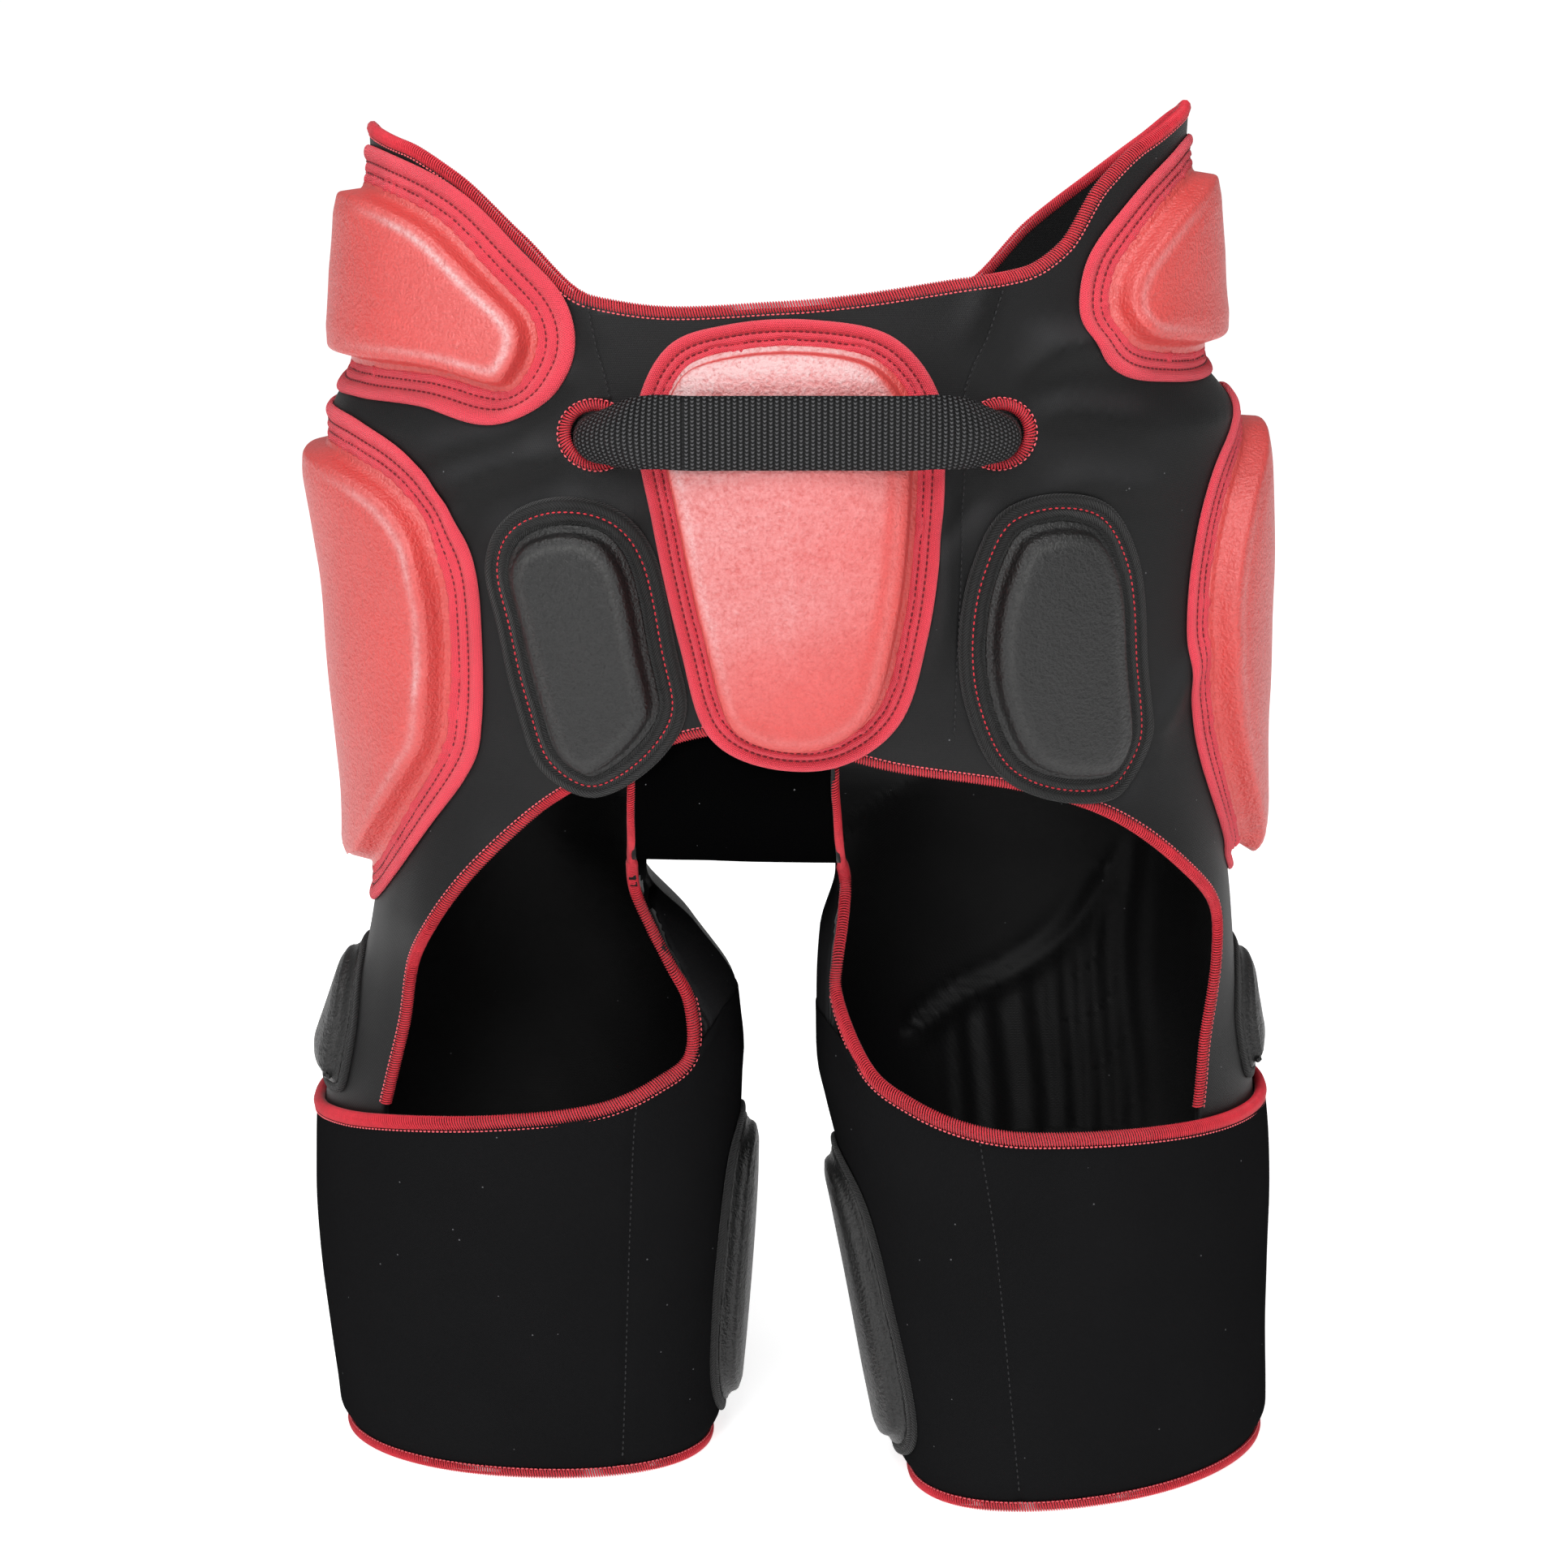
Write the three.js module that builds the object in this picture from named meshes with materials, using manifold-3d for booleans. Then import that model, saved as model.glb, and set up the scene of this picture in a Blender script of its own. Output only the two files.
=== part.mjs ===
// Padded hip girdle with thigh cuffs, standing on its hems. Millimetres, +Z up, front towards -Y.
import * as THREE from 'three';
import Module from 'manifold-3d';
import { mergeVertices } from 'three/addons/utils/BufferGeometryUtils.js';

// Driving sizes of the fabric body
const HEIGHT = 600;
const BODY_WIDTH = 400;
const BODY_DEPTH = 200;
const SHELL_WALL = 3;
const SHELL_LAP = 38;
const HIP_ROUNDNESS = 2.3;
const THIGH_ROUNDNESS = 2.15;
const CREASE_SHARPNESS = 20;
const LEFT_THIGH_TURN = -7;
const RIGHT_THIGH_TURN = 20;

// Cuffs, bindings and webbing
const CUFF_WALL = 4;
const BINDING_RADIUS = 3;
const BINDING_ROOM = 1.3;
const STEEPNESS_POWER = 2.1;
const HEM_WIDTH = 5;
const HEM_HEIGHT = 7;
const STRAP_WIDTH = 30;
const STRAP_THICKNESS = 1.8;
const STRAP_LEVEL = 0.8;
const STRAP_EASE = 0.6;
const STRAP_LIFT = 0.8;
const STRAP_BACK_DROP = 8;
const SLOT_LEFT = -76;
const SLOT_RIGHT = 87;
const SLOT_HALF_WIDTH = 13;
const SLOT_CURL = 2;

// Pads
const HIP_PAD_THICKNESS = 16;
const FRONT_PAD_THICKNESS = 22;
const GROIN_PAD_THICKNESS = 12;
const THIGH_PAD_THICKNESS = 9;
const TRIM_WIDTH = 11;
const TAPE_WIDTH = 12;
const TRIM_THICKNESS = 2.6;
const FOAM_ROUNDING = 5;
const CROWN = 0.6;
const FLAT_SEAT = 0.6;
const ROUND_SEAT = 1.4;
const GAP = 0.3;
const PAD_GROOVE = 0.9;
const PAD_ROOT = 7;

// Facet counts
const HIP_SIDES = 36;
const THIGH_SIDES = 24;
const PAD_SIDES = 20;
const SMALL_PAD_SIDES = 16;
const EDGE_STEPS = 30;
const HEM_STEPS = 22;
const SLOT_STEPS = 12;
const BINDING_SIDES = 5;
const STRAP_PARTS = 4;
const STRAP_STOPS_INSIDE = 15;
const LINE_STEPS = 8;

const BINDING_SEAT = BINDING_RADIUS + GAP;
const HALF_WIDTH = BODY_WIDTH / 2;
const HALF_DEPTH = BODY_DEPTH / 2;
const SEAM_DEPTH = 0.15 * HALF_DEPTH;
const REACH = BODY_WIDTH;
const TOP = 1.2 * HEIGHT;

// Levels are shares of HEIGHT. Widths are shares of half the body's width, depths of half its depth.
const columns = (names, rows) => rows.map(row => Object.fromEntries(names.map((name, i) => [name, row[i]])));

const HIP_SECTIONS = columns(['level', 'left', 'right', 'front', 'back'], [
  [0.453, 0.855, 0.955, 0.08, 0.62],
  [0.480, 0.860, 0.960, 0.68, 0.94],
  [0.533, 0.880, 0.960, 1.00, 1.13],
  [0.583, 0.895, 0.965, 1.08, 1.16],
  [0.667, 0.910, 0.965, 1.11, 1.16],
  [0.780, 0.960, 0.955, 1.09, 1.10],
  [0.820, 0.900, 0.880, 1.07, 1.06],
  [0.875, 0.880, 0.850, 1.01, 1.00],
  [0.933, 0.870, 0.840, 0.96, 0.94],
  [1.020, 0.875, 0.850, 0.88, 0.87],
]);
const LEFT_THIGH_SECTIONS = columns(['level', 'outer', 'inner', 'front', 'back'], [
  [0.000, -0.980, -0.170, 0.48, 0.76],
  [0.200, -1.025, -0.125, 0.60, 0.88],
  [0.280, -1.015, -0.115, 0.68, 0.93],
  [0.342, -0.960, -0.100, 0.76, 0.97],
  [0.392, -0.910, -0.190, 0.84, 1.00],
  [0.437, -0.885, -0.300, 0.92, 1.04],
  [0.575, -0.830, -0.280, 0.76, 0.82],
]);
const RIGHT_THIGH_SECTIONS = columns(['level', 'outer', 'inner', 'front', 'back'], [
  [0.000, 1.070, 0.285, 0.80, 0.60],
  [0.200, 1.060, 0.170, 0.82, 0.76],
  [0.280, 1.040, 0.110, 0.84, 0.84],
  [0.342, 1.005, 0.070, 0.87, 0.92],
  [0.392, 0.985, 0.075, 0.92, 0.97],
  [0.437, 0.970, 0.110, 0.96, 1.02],
  [0.575, 0.900, 0.100, 0.76, 0.84],
]);

// Edges that run round a tube, by angle in degrees: 0 is the front, 90 the wearer's left side
const WAIST_EDGE = columns(['angle', 'level'], [
  [-180, 0.820], [-155, 0.826], [-143, 0.858], [-130, 0.893], [-118, 0.925], [-100, 0.968], [-84, 0.980],
  [-61, 0.973],
  [-48, 0.955], [-35, 0.917], [-23, 0.878], [-12, 0.872], [0, 0.876], [21, 0.889], [32, 0.895],
  [40, 0.912], [48, 0.950], [60, 0.976], [86, 0.994], [100, 0.984], [117, 0.958], [130, 0.930], [143, 0.894],
  [155, 0.845], [168, 0.824],
]);
const LEFT_CUFF_EDGE = columns(['angle', 'level'], [
  [-180, 0.275], [-120, 0.263], [-90, 0.260], [-60, 0.268], [-30, 0.280], [0, 0.289],
  [20, 0.296], [40, 0.315], [53, 0.335], [70, 0.350], [100, 0.345], [140, 0.300],
]);
const RIGHT_CUFF_EDGE = columns(['angle', 'level'], [
  [-180, 0.275], [-140, 0.300], [-100, 0.340], [-75, 0.345], [-62, 0.338], [-48, 0.322],
  [-28, 0.295], [-10, 0.284], [21, 0.280], [50, 0.275], [85, 0.271], [130, 0.270],
]);

// Rings of the sheet that cuts an edge, as shares of the tube's reach, close together at its wall
const CUT_SPREADS = [0.3, 0.95, 1.02, 1.1, 1.5];

// Angles of the cuff bindings' points, from the back round the outer side to the inner thigh
const LEFT_BINDING_ANGLES = [-205, -180, -155, -130, -105, -80, -55, -30, -10, 10, 26, 40, 51];
const RIGHT_BINDING_ANGLES = [205, 180, 155, 130, 105, 80, 55, 30, 10, -10, -26, -40, -52];

// Webbing over the front pad, by side, and through a slot: its distance outwards past the slot's
// middle, backwards and down as shares of STRAP_WIDTH, and its curl in radians
const STRAP_FRONT = [-0.2, -0.05, 0.12, 0.26];
const STRAP_BACK_FROM = 48;
const SLOT_PASSAGE = columns(['from', 'out', 'back', 'down', 'curl'], [
  ['face', -0.86667, 0.10000, 0.00000, 0.1],
  ['face', -0.50000, 0.25000, 0.05000, 0.7],
  ['midway', -0.20000, 0.03333, 0.13333, 1.5],
  ['skin', -0.01667, -0.18333, 0.20000, SLOT_CURL],
  ['skin', 0.01667, 0.05000, 0.20000, SLOT_CURL],
  ['skin', 0.05000, 0.30000, 0.20000, SLOT_CURL],
  ['skin', 0.23333, 0.60000, 0.20000, 1.3],
  ['skin', 0.60000, 0.80000, 0.20000, 0.5],
]);
const SLOT_DROP = 0.2 * STRAP_WIDTH;

// Edges seen from the front, from the left of the front view to its right or from the cuff upwards
const FRONT_PANEL_EDGE = columns(['side', 'level'], [
  [-0.865, 0.288], [-0.820, 0.350], [-0.790, 0.405], [-0.700, 0.460], [-0.550, 0.512],
  [-0.300, 0.570], [-0.100, 0.588], [0.220, 0.560], [0.510, 0.540], [0.700, 0.515],
  [0.840, 0.476], [0.925, 0.436], [0.935, 0.395], [0.910, 0.335], [0.895, 0.290],
]);
const LEFT_INNER_EDGE = columns(['side', 'level'], [
  [-0.170, 0.345], [-0.235, 0.388], [-0.290, 0.420], [-0.320, 0.445], [-0.320, 0.490], [-0.315, 0.548],
]);
const RIGHT_INNER_EDGE = columns(['side', 'level'], [
  [0.105, 0.348], [0.107, 0.385], [0.128, 0.438], [0.118, 0.480], [0.105, 0.543],
]);

// Outer edges of the pads' sewn borders: side pads by angle, front pads by their front view
const UPPER_LEFT_PAD = columns(['angle', 'level'], [
  [-86, 0.960], [-62, 0.958], [-47, 0.940], [-36, 0.905], [-28, 0.873], [-27, 0.838],
  [-33, 0.802], [-50, 0.808], [-70, 0.806], [-100, 0.803], [-121, 0.826], [-127, 0.872], [-114, 0.930],
]);
const UPPER_RIGHT_PAD = columns(['angle', 'level'], [
  [86, 0.972], [66, 0.958], [53, 0.930], [44.5, 0.897], [43, 0.860], [48, 0.830],
  [62, 0.817], [90, 0.812], [112, 0.822], [125, 0.852], [126, 0.888], [112, 0.940],
]);
const LOWER_LEFT_PAD = columns(['angle', 'level'], [
  [-88, 0.780], [-64, 0.778], [-50, 0.757], [-43, 0.715], [-42, 0.650], [-44, 0.568],
  [-52, 0.515], [-66, 0.464], [-86, 0.430], [-106, 0.440], [-124, 0.515], [-131, 0.610], [-127, 0.710],
  [-112, 0.766],
]);
const LOWER_RIGHT_PAD = columns(['angle', 'level'], [
  [90, 0.792], [77, 0.772], [66, 0.742], [60, 0.690], [59, 0.630], [63, 0.562],
  [73, 0.500], [88, 0.446], [106, 0.450], [122, 0.510], [130, 0.600], [127, 0.700], [110, 0.775],
]);
const FRONT_PAD = columns(['side', 'level'], [
  [-0.295, 0.806], [-0.230, 0.850], [-0.110, 0.864], [0.060, 0.867], [0.220, 0.855], [0.310, 0.817],
  [0.320, 0.758], [0.290, 0.653], [0.230, 0.590], [0.110, 0.562], [-0.040, 0.562], [-0.150, 0.583],
  [-0.210, 0.647], [-0.265, 0.733],
]);
const GROIN_LEFT_PAD = columns(['side', 'level'], [
  [-0.610, 0.700], [-0.560, 0.733], [-0.450, 0.748], [-0.330, 0.740], [-0.265, 0.713], [-0.220, 0.647],
  [-0.200, 0.597], [-0.280, 0.557], [-0.400, 0.535], [-0.500, 0.552], [-0.550, 0.597], [-0.585, 0.650],
]);
const GROIN_RIGHT_PAD = columns(['side', 'level'], [
  [0.380, 0.700], [0.440, 0.737], [0.550, 0.748], [0.660, 0.738], [0.725, 0.700], [0.750, 0.627],
  [0.760, 0.563], [0.700, 0.530], [0.560, 0.530], [0.440, 0.553], [0.370, 0.603], [0.355, 0.653],
]);
const LEFT_OUTER_THIGH_PAD = columns(['angle', 'level'], [
  [-60, 0.290], [-66, 0.345], [-84, 0.385], [-108, 0.370], [-118, 0.320], [-112, 0.284], [-86, 0.281],
]);
const RIGHT_OUTER_THIGH_PAD = columns(['angle', 'level'], [
  [70, 0.296], [72, 0.345], [88, 0.384], [110, 0.372], [120, 0.325], [114, 0.292], [90, 0.290],
]);
const LEFT_INNER_THIGH_PAD = columns(['angle', 'level'], [
  [72, 0.235], [66, 0.160], [68, 0.060], [84, 0.024], [108, 0.040], [120, 0.130], [112, 0.225], [92, 0.258],
]);
const RIGHT_INNER_THIGH_PAD = columns(['angle', 'level'], [
  [-67, 0.225], [-61, 0.150], [-60, 0.050], [-78, 0.024], [-104, 0.035], [-118, 0.120], [-110, 0.215],
  [-90, 0.250],
]);

const wasm = await Module();
wasm.setup();

// Smooth value of one column of a table, which keeps a rise a rise and a dip a dip
function readTable(table, key, name, at) {
  const rows = [...table].sort((a, b) => a[key] - b[key]);
  const last = rows.length - 1;
  const value = Math.min(Math.max(at, rows[0][key]), rows[last][key]);
  const slope = i => (rows[i + 1][name] - rows[i][name]) / (rows[i + 1][key] - rows[i][key]);
  const tangent = i => {
    if (i === 0) return slope(0);
    if (i === last) return slope(last - 1);
    const before = slope(i - 1);
    const after = slope(i);
    return before * after > 0 ? (2 * before * after) / (before + after) : 0;
  };
  let i = 0;
  while (i < last - 1 && value > rows[i + 1][key]) i++;
  const width = rows[i + 1][key] - rows[i][key];
  const t = (value - rows[i][key]) / width;
  const from = rows[i][name] * (1 + 2 * t) * (1 - t) ** 2 + width * tangent(i) * t * (1 - t) ** 2;
  return from + rows[i + 1][name] * t * t * (3 - 2 * t) + width * tangent(i + 1) * t * t * (t - 1);
}

// The same for an edge that closes on itself after a full turn
function readEdge(table, angle) {
  const turned = ((angle + 180) % 360 + 360) % 360 - 180;
  const turnBy = turn => table.map(row => ({ angle: row.angle + turn, level: row.level }));
  const around = [-360, 0, 360].flatMap(turnBy);
  return readTable(around, 'angle', 'level', turned);
}

const radians = degrees => degrees * Math.PI / 180;
const bow = (value, roundness) => Math.sign(value) * Math.abs(value) ** (2 / roundness);

// Plan of the hips at a height, by angle
function hipPlan(angle, z) {
  const level = z / HEIGHT;
  const sine = Math.sin(radians(angle));
  const cosine = Math.cos(radians(angle));
  const width = readTable(HIP_SECTIONS, 'level', sine < 0 ? 'left' : 'right', level) * HALF_WIDTH;
  const depth = readTable(HIP_SECTIONS, 'level', cosine < 0 ? 'back' : 'front', level) * HALF_DEPTH;
  return new THREE.Vector2(width * bow(sine, HIP_ROUNDNESS), -depth * bow(cosine, HIP_ROUNDNESS));
}

// Centre, half sizes and turn of a thigh at a height
function thighSize(sections, turn, z) {
  const level = z / HEIGHT;
  const read = name => readTable(sections, 'level', name, level);
  const outer = read('outer') * HALF_WIDTH;
  const inner = read('inner') * HALF_WIDTH;
  const front = -read('front') * HALF_DEPTH;
  const back = read('back') * HALF_DEPTH;
  const fade = Math.max(0, 1 - level / HIP_SECTIONS[0].level);
  return {
    x: (outer + inner) / 2,
    y: (front + back) / 2,
    halfWidth: Math.abs(outer - inner) / 2,
    halfDepth: (back - front) / 2,
    shear: Math.tan(radians(turn * fade)),
  };
}

function thighPlan(sections, turn) {
  return (angle, z) => {
    const size = thighSize(sections, turn, z);
    const across = size.halfWidth * bow(Math.sin(radians(angle)), THIGH_ROUNDNESS);
    const along = -size.halfDepth * bow(Math.cos(radians(angle)), THIGH_ROUNDNESS);
    return new THREE.Vector2(size.x + across, size.y + along + across * size.shear);
  };
}

// Outermost point of hips and thigh together along the ray of an angle, where the side pads lie
function sidePlan(angle, z) {
  const ray = hipPlan(angle, Math.max(z, HIP_SECTIONS[3].level * HEIGHT)).normalize();
  const left = ray.x < 0;
  const size = left
    ? thighSize(LEFT_THIGH_SECTIONS, LEFT_THIGH_TURN, z)
    : thighSize(RIGHT_THIGH_SECTIONS, RIGHT_THIGH_TURN, z);
  const level = z / HEIGHT;
  const width = readTable(HIP_SECTIONS, 'level', left ? 'left' : 'right', level) * HALF_WIDTH;
  const depth = readTable(HIP_SECTIONS, 'level', ray.y > 0 ? 'back' : 'front', level) * HALF_DEPTH;
  const hasThigh = level < LEFT_THIGH_SECTIONS[LEFT_THIGH_SECTIONS.length - 1].level;
  const inside = reach => {
    const x = ray.x * reach;
    const y = ray.y * reach;
    const hip = Math.abs(x / width) ** HIP_ROUNDNESS + Math.abs(y / depth) ** HIP_ROUNDNESS;
    if (!hasThigh) return hip < 1;
    const across = (x - size.x) / size.halfWidth;
    const along = (y - size.y - (x - size.x) * size.shear) / size.halfDepth;
    const thigh = Math.abs(across) ** THIGH_ROUNDNESS + Math.abs(along) ** THIGH_ROUNDNESS;
    return hip ** -CREASE_SHARPNESS + thigh ** -CREASE_SHARPNESS > 1;
  };
  const stride = 4;
  const halvings = 24;
  let outer = 1.5 * HALF_WIDTH;
  while (outer > 0 && !inside(outer - stride)) outer -= stride;
  let inner = outer - stride;
  for (let i = 0; i < halvings; i++) {
    const middle = (outer + inner) / 2;
    if (inside(middle)) inner = middle;
    else outer = middle;
  }
  return ray.multiplyScalar(inner);
}

const leftThighPlan = thighPlan(LEFT_THIGH_SECTIONS, LEFT_THIGH_TURN);
const rightThighPlan = thighPlan(RIGHT_THIGH_SECTIONS, RIGHT_THIGH_TURN);

// A plan's point moved outwards by an offset
function planPoint(plan, angle, z, offset) {
  const step = 0.5;
  const tangent = plan(angle + step, z).sub(plan(angle - step, z)).normalize();
  const point = plan(angle, z);
  return new THREE.Vector3(point.x + tangent.y * offset, point.y - tangent.x * offset, z);
}

function middleOf(points) {
  const sum = new THREE.Vector3();
  points.forEach(point => sum.add(point));
  return sum.divideScalar(points.length);
}

// Closed mesh from rings of equal length, with its two ends closed by fans or joined to each other
function loft(rings, ends = 'fans', centres = []) {
  const count = rings[0].length;
  const positions = rings.flat().flatMap(point => [point.x, point.y, point.z]);
  const faces = [];
  const bands = ends === 'joined' ? rings.length : rings.length - 1;
  for (let r = 0; r < bands; r++) {
    const low = r * count;
    const high = ((r + 1) % rings.length) * count;
    for (let i = 0; i < count; i++) {
      const j = (i + 1) % count;
      faces.push(low + i, low + j, high + j, low + i, high + j, high + i);
    }
  }
  if (ends === 'fans') {
    [0, rings.length - 1].forEach((ring, end) => {
      const centre = centres[end] ?? middleOf(rings[ring]);
      const hub = positions.length / 3;
      positions.push(centre.x, centre.y, centre.z);
      for (let i = 0; i < count; i++) {
        const here = ring * count + i;
        const next = ring * count + (i + 1) % count;
        faces.push(...(end === 0 ? [hub, next, here] : [hub, here, next]));
      }
    });
  }
  const geometry = new THREE.BufferGeometry();
  geometry.setAttribute('position', new THREE.Float32BufferAttribute(positions, 3));
  geometry.setIndex(faces);
  return geometry;
}

// A closed three.js geometry as a solid that can be joined and cut
function solid(geometry) {
  const bare = geometry.clone();
  bare.deleteAttribute('normal');
  bare.deleteAttribute('uv');
  const merged = mergeVertices(bare, 1e-3);
  const index = new Uint32Array(merged.index.array);
  const vertProperties = new Float32Array(merged.attributes.position.array);
  const made = new wasm.Manifold(new wasm.Mesh({ numProp: 3, vertProperties, triVerts: index }));
  if (made.volume() > 0) return made;
  const triVerts = new Uint32Array(index.length);
  for (let i = 0; i < index.length; i += 3) triVerts.set([index[i], index[i + 2], index[i + 1]], i);
  return new wasm.Manifold(new wasm.Mesh({ numProp: 3, vertProperties, triVerts }));
}

const cut = (body, ...tools) => tools.reduce((left, tool) => left.subtract(tool), body);
const join = (first, ...others) => others.reduce((sum, other) => sum.add(other), first);

// The largest solid, without the crumbs that a cut may leave
function largest(body) {
  const pieces = body.decompose().filter(piece => piece.volume() > 0);
  return pieces.reduce((best, piece) => (piece.volume() > best.volume() ? piece : best));
}

function tube(plan, levels, sides, offset, below = 0, above = 0) {
  const rings = levels.map((z, i) => {
    const shift = i === 0 ? -below : i === levels.length - 1 ? above : 0;
    return Array.from({ length: sides }, (_, k) => {
      const point = planPoint(plan, k * 360 / sides, z, offset);
      point.z += shift;
      return point;
    });
  });
  return solid(loft(rings));
}

const hipLevels = HIP_SECTIONS.map(row => row.level * HEIGHT);
const thighLevels = LEFT_THIGH_SECTIONS.map(row => row.level * HEIGHT);
const shellEnd = LEFT_CUFF_EDGE[2].level * HEIGHT - SHELL_LAP;
const shellLevels = [shellEnd, ...thighLevels.filter(z => z > shellEnd + 1)];
const hemTop = HEM_HEIGHT + GAP;

// The whole body as one filled form, its surface moved outwards by an offset
function bodyForm(offset, below = 0, above = 0) {
  const inset = offset < 0 ? -offset : 0;
  return join(
    tube(hipPlan, hipLevels, HIP_SIDES, offset, -inset, above),
    tube(leftThighPlan, shellLevels, THIGH_SIDES, offset, below),
    tube(rightThighPlan, shellLevels, THIGH_SIDES, offset, below),
  );
}

// Everything above an edge that runs round a tube, with room for the binding on the edge
function above(plan, edge, sides, top) {
  const onEdge = angle => {
    const point = plan(angle, HEIGHT * readEdge(edge, angle));
    return new THREE.Vector3(point.x, point.y, HEIGHT * readEdge(edge, angle));
  };
  const ring = (spread, height) => Array.from({ length: sides }, (_, k) => {
    const angle = k * 360 / sides;
    const runs = [-1, 1].map(way => onEdge(angle + way * 360 / sides).sub(onEdge(angle)));
    const steepness = Math.max(...runs.map(run => run.length() / Math.hypot(run.x, run.y)));
    const z = readEdge(edge, angle) * HEIGHT - BINDING_SEAT * steepness ** STEEPNESS_POWER;
    const centre = plan(0, z).add(plan(180, z)).multiplyScalar(0.5);
    const point = plan(angle, z).sub(centre).multiplyScalar(spread).add(centre);
    return new THREE.Vector3(point.x, point.y, height ?? z);
  });
  const widest = CUT_SPREADS[CUT_SPREADS.length - 1];
  return solid(loft([...CUT_SPREADS.map(spread => ring(spread)), ring(widest, top)]));
}

// Depth of the body's front at a place in the front view
function frontDepth(x, z, offset) {
  const level = z / HEIGHT;
  const read = name => readTable(HIP_SECTIONS, 'level', name, level);
  const arch = (ratio, roundness) => Math.max(0, 1 - Math.abs(ratio) ** roundness) ** (1 / roundness);
  const hipRatio = x / (read(x < 0 ? 'left' : 'right') * HALF_WIDTH + offset);
  const depths = [-(read('front') * HALF_DEPTH + offset) * arch(hipRatio, HIP_ROUNDNESS)];
  if (z < thighLevels[thighLevels.length - 1]) {
    const sections = x < 0 ? LEFT_THIGH_SECTIONS : RIGHT_THIGH_SECTIONS;
    const size = thighSize(sections, x < 0 ? LEFT_THIGH_TURN : RIGHT_THIGH_TURN, z);
    const ratio = (x - size.x) / (size.halfWidth + offset);
    if (Math.abs(ratio) < 1) {
      const middle = size.y + (x - size.x) * size.shear;
      depths.push(middle - (size.halfDepth + offset) * arch(ratio, THIGH_ROUNDNESS));
    }
  }
  return Math.min(...depths);
}

const frontPoint = (row, offset) => {
  const x = row.side * HALF_WIDTH;
  const z = row.level * HEIGHT;
  return new THREE.Vector3(x, frontDepth(x, z, offset), z);
};

// Surfaces that pads are sewn to: u and v in millimetres across and up, lift off the surface
const ANGLE_SCALE = (HALF_WIDTH + HALF_DEPTH) / 2;
const degrees = turn => turn * 180 / Math.PI;
const roundSurface = (plan, skin = 0) => (
  (u, v, lift) => planPoint(plan, degrees(u / ANGLE_SCALE), v, skin + lift)
);
const frontSurface = (u, v, lift) => {
  const at = (x, z) => new THREE.Vector3(x, frontDepth(x, z, 0), z);
  const across = at(u + 1, v).sub(at(u - 1, v));
  const up = at(u, v + 1).sub(at(u, v - 1));
  return at(u, v).addScaledVector(across.cross(up).normalize(), lift);
};

// A pad's outline as evenly spaced points of a smooth closed curve
function outline(table, sides) {
  const points = table.map(row => {
    const u = row.side === undefined ? radians(row.angle) * ANGLE_SCALE : row.side * HALF_WIDTH;
    return new THREE.Vector3(u, row.level * HEIGHT, 0);
  });
  const curve = new THREE.CatmullRomCurve3(points, true, 'centripetal');
  return curve.getSpacedPoints(sides).slice(0, sides);
}

// The same outline moved inwards along the surface
function inset(surface, edge, distance) {
  if (distance === 0) return edge;
  const middle = middleOf(edge);
  return edge.map((point, i) => {
    const next = edge[(i + 1) % edge.length];
    const last = edge[(i + edge.length - 1) % edge.length];
    const here = surface(point.x, point.y, 0);
    const du = surface(point.x + 1, point.y, 0).sub(surface(point.x - 1, point.y, 0)).multiplyScalar(0.5);
    const dv = surface(point.x, point.y + 1, 0).sub(surface(point.x, point.y - 1, 0)).multiplyScalar(0.5);
    const along = surface(next.x, next.y, 0).sub(surface(last.x, last.y, 0)).normalize();
    const inward = du.clone().cross(dv).normalize().cross(along).normalize();
    if (inward.dot(surface(middle.x, middle.y, 0).sub(here)) < 0) inward.negate();
    const moveAcross = distance * inward.dot(du) / du.lengthSq();
    const moveUp = distance * inward.dot(dv) / dv.lengthSq();
    return new THREE.Vector3(point.x + moveAcross, point.y + moveUp, 0);
  });
}

function shrink(edge, share) {
  const middle = middleOf(edge);
  return edge.map(point => point.clone().lerp(middle, 1 - share));
}

const lifted = (surface, edge, lift) => edge.map(point => surface(point.x, point.y, lift));

// A raised foam block inside its border, with rounded upper edges and a slightly crowned top
function foam(surface, table, sides, border, thickness) {
  const base = inset(surface, outline(table, sides), border + PAD_GROOVE);
  const top = inset(surface, base, FOAM_ROUNDING);
  const middle = shrink(top, 0)[0];
  const crownShares = sides === PAD_SIDES ? [0.66, 0.33] : [0.5];
  const rings = [
    lifted(surface, base, -PAD_ROOT),
    lifted(surface, base, thickness - FOAM_ROUNDING),
    lifted(surface, top, thickness),
    ...crownShares.map(share => lifted(surface, shrink(top, share), thickness + CROWN)),
  ];
  const hubs = [-PAD_ROOT, thickness + CROWN].map(lift => surface(middle.x, middle.y, lift));
  return solid(loft(rings, 'fans', hubs));
}

// The sewn border round a pad
function border(surface, table, sides, width) {
  const edge = outline(table, sides);
  const inner = inset(surface, edge, width);
  const seat = surface === frontSurface ? FLAT_SEAT : ROUND_SEAT;
  return solid(loft([
    lifted(surface, edge, seat),
    lifted(surface, edge, seat + TRIM_THICKNESS),
    lifted(surface, inner, seat + TRIM_THICKNESS),
    lifted(surface, inner, seat),
  ], 'joined'));
}

// A pad's footprint with some room round it, to keep a lower piece clear of it
function footprint(surface, table, height) {
  const edge = inset(surface, outline(table, PAD_SIDES), -GAP);
  const middle = shrink(edge, 0)[0];
  const lifts = [-PAD_ROOT, height];
  const hubs = lifts.map(lift => surface(middle.x, middle.y, lift));
  return solid(loft(lifts.map(lift => lifted(surface, edge, lift)), 'fans', hubs));
}

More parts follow.
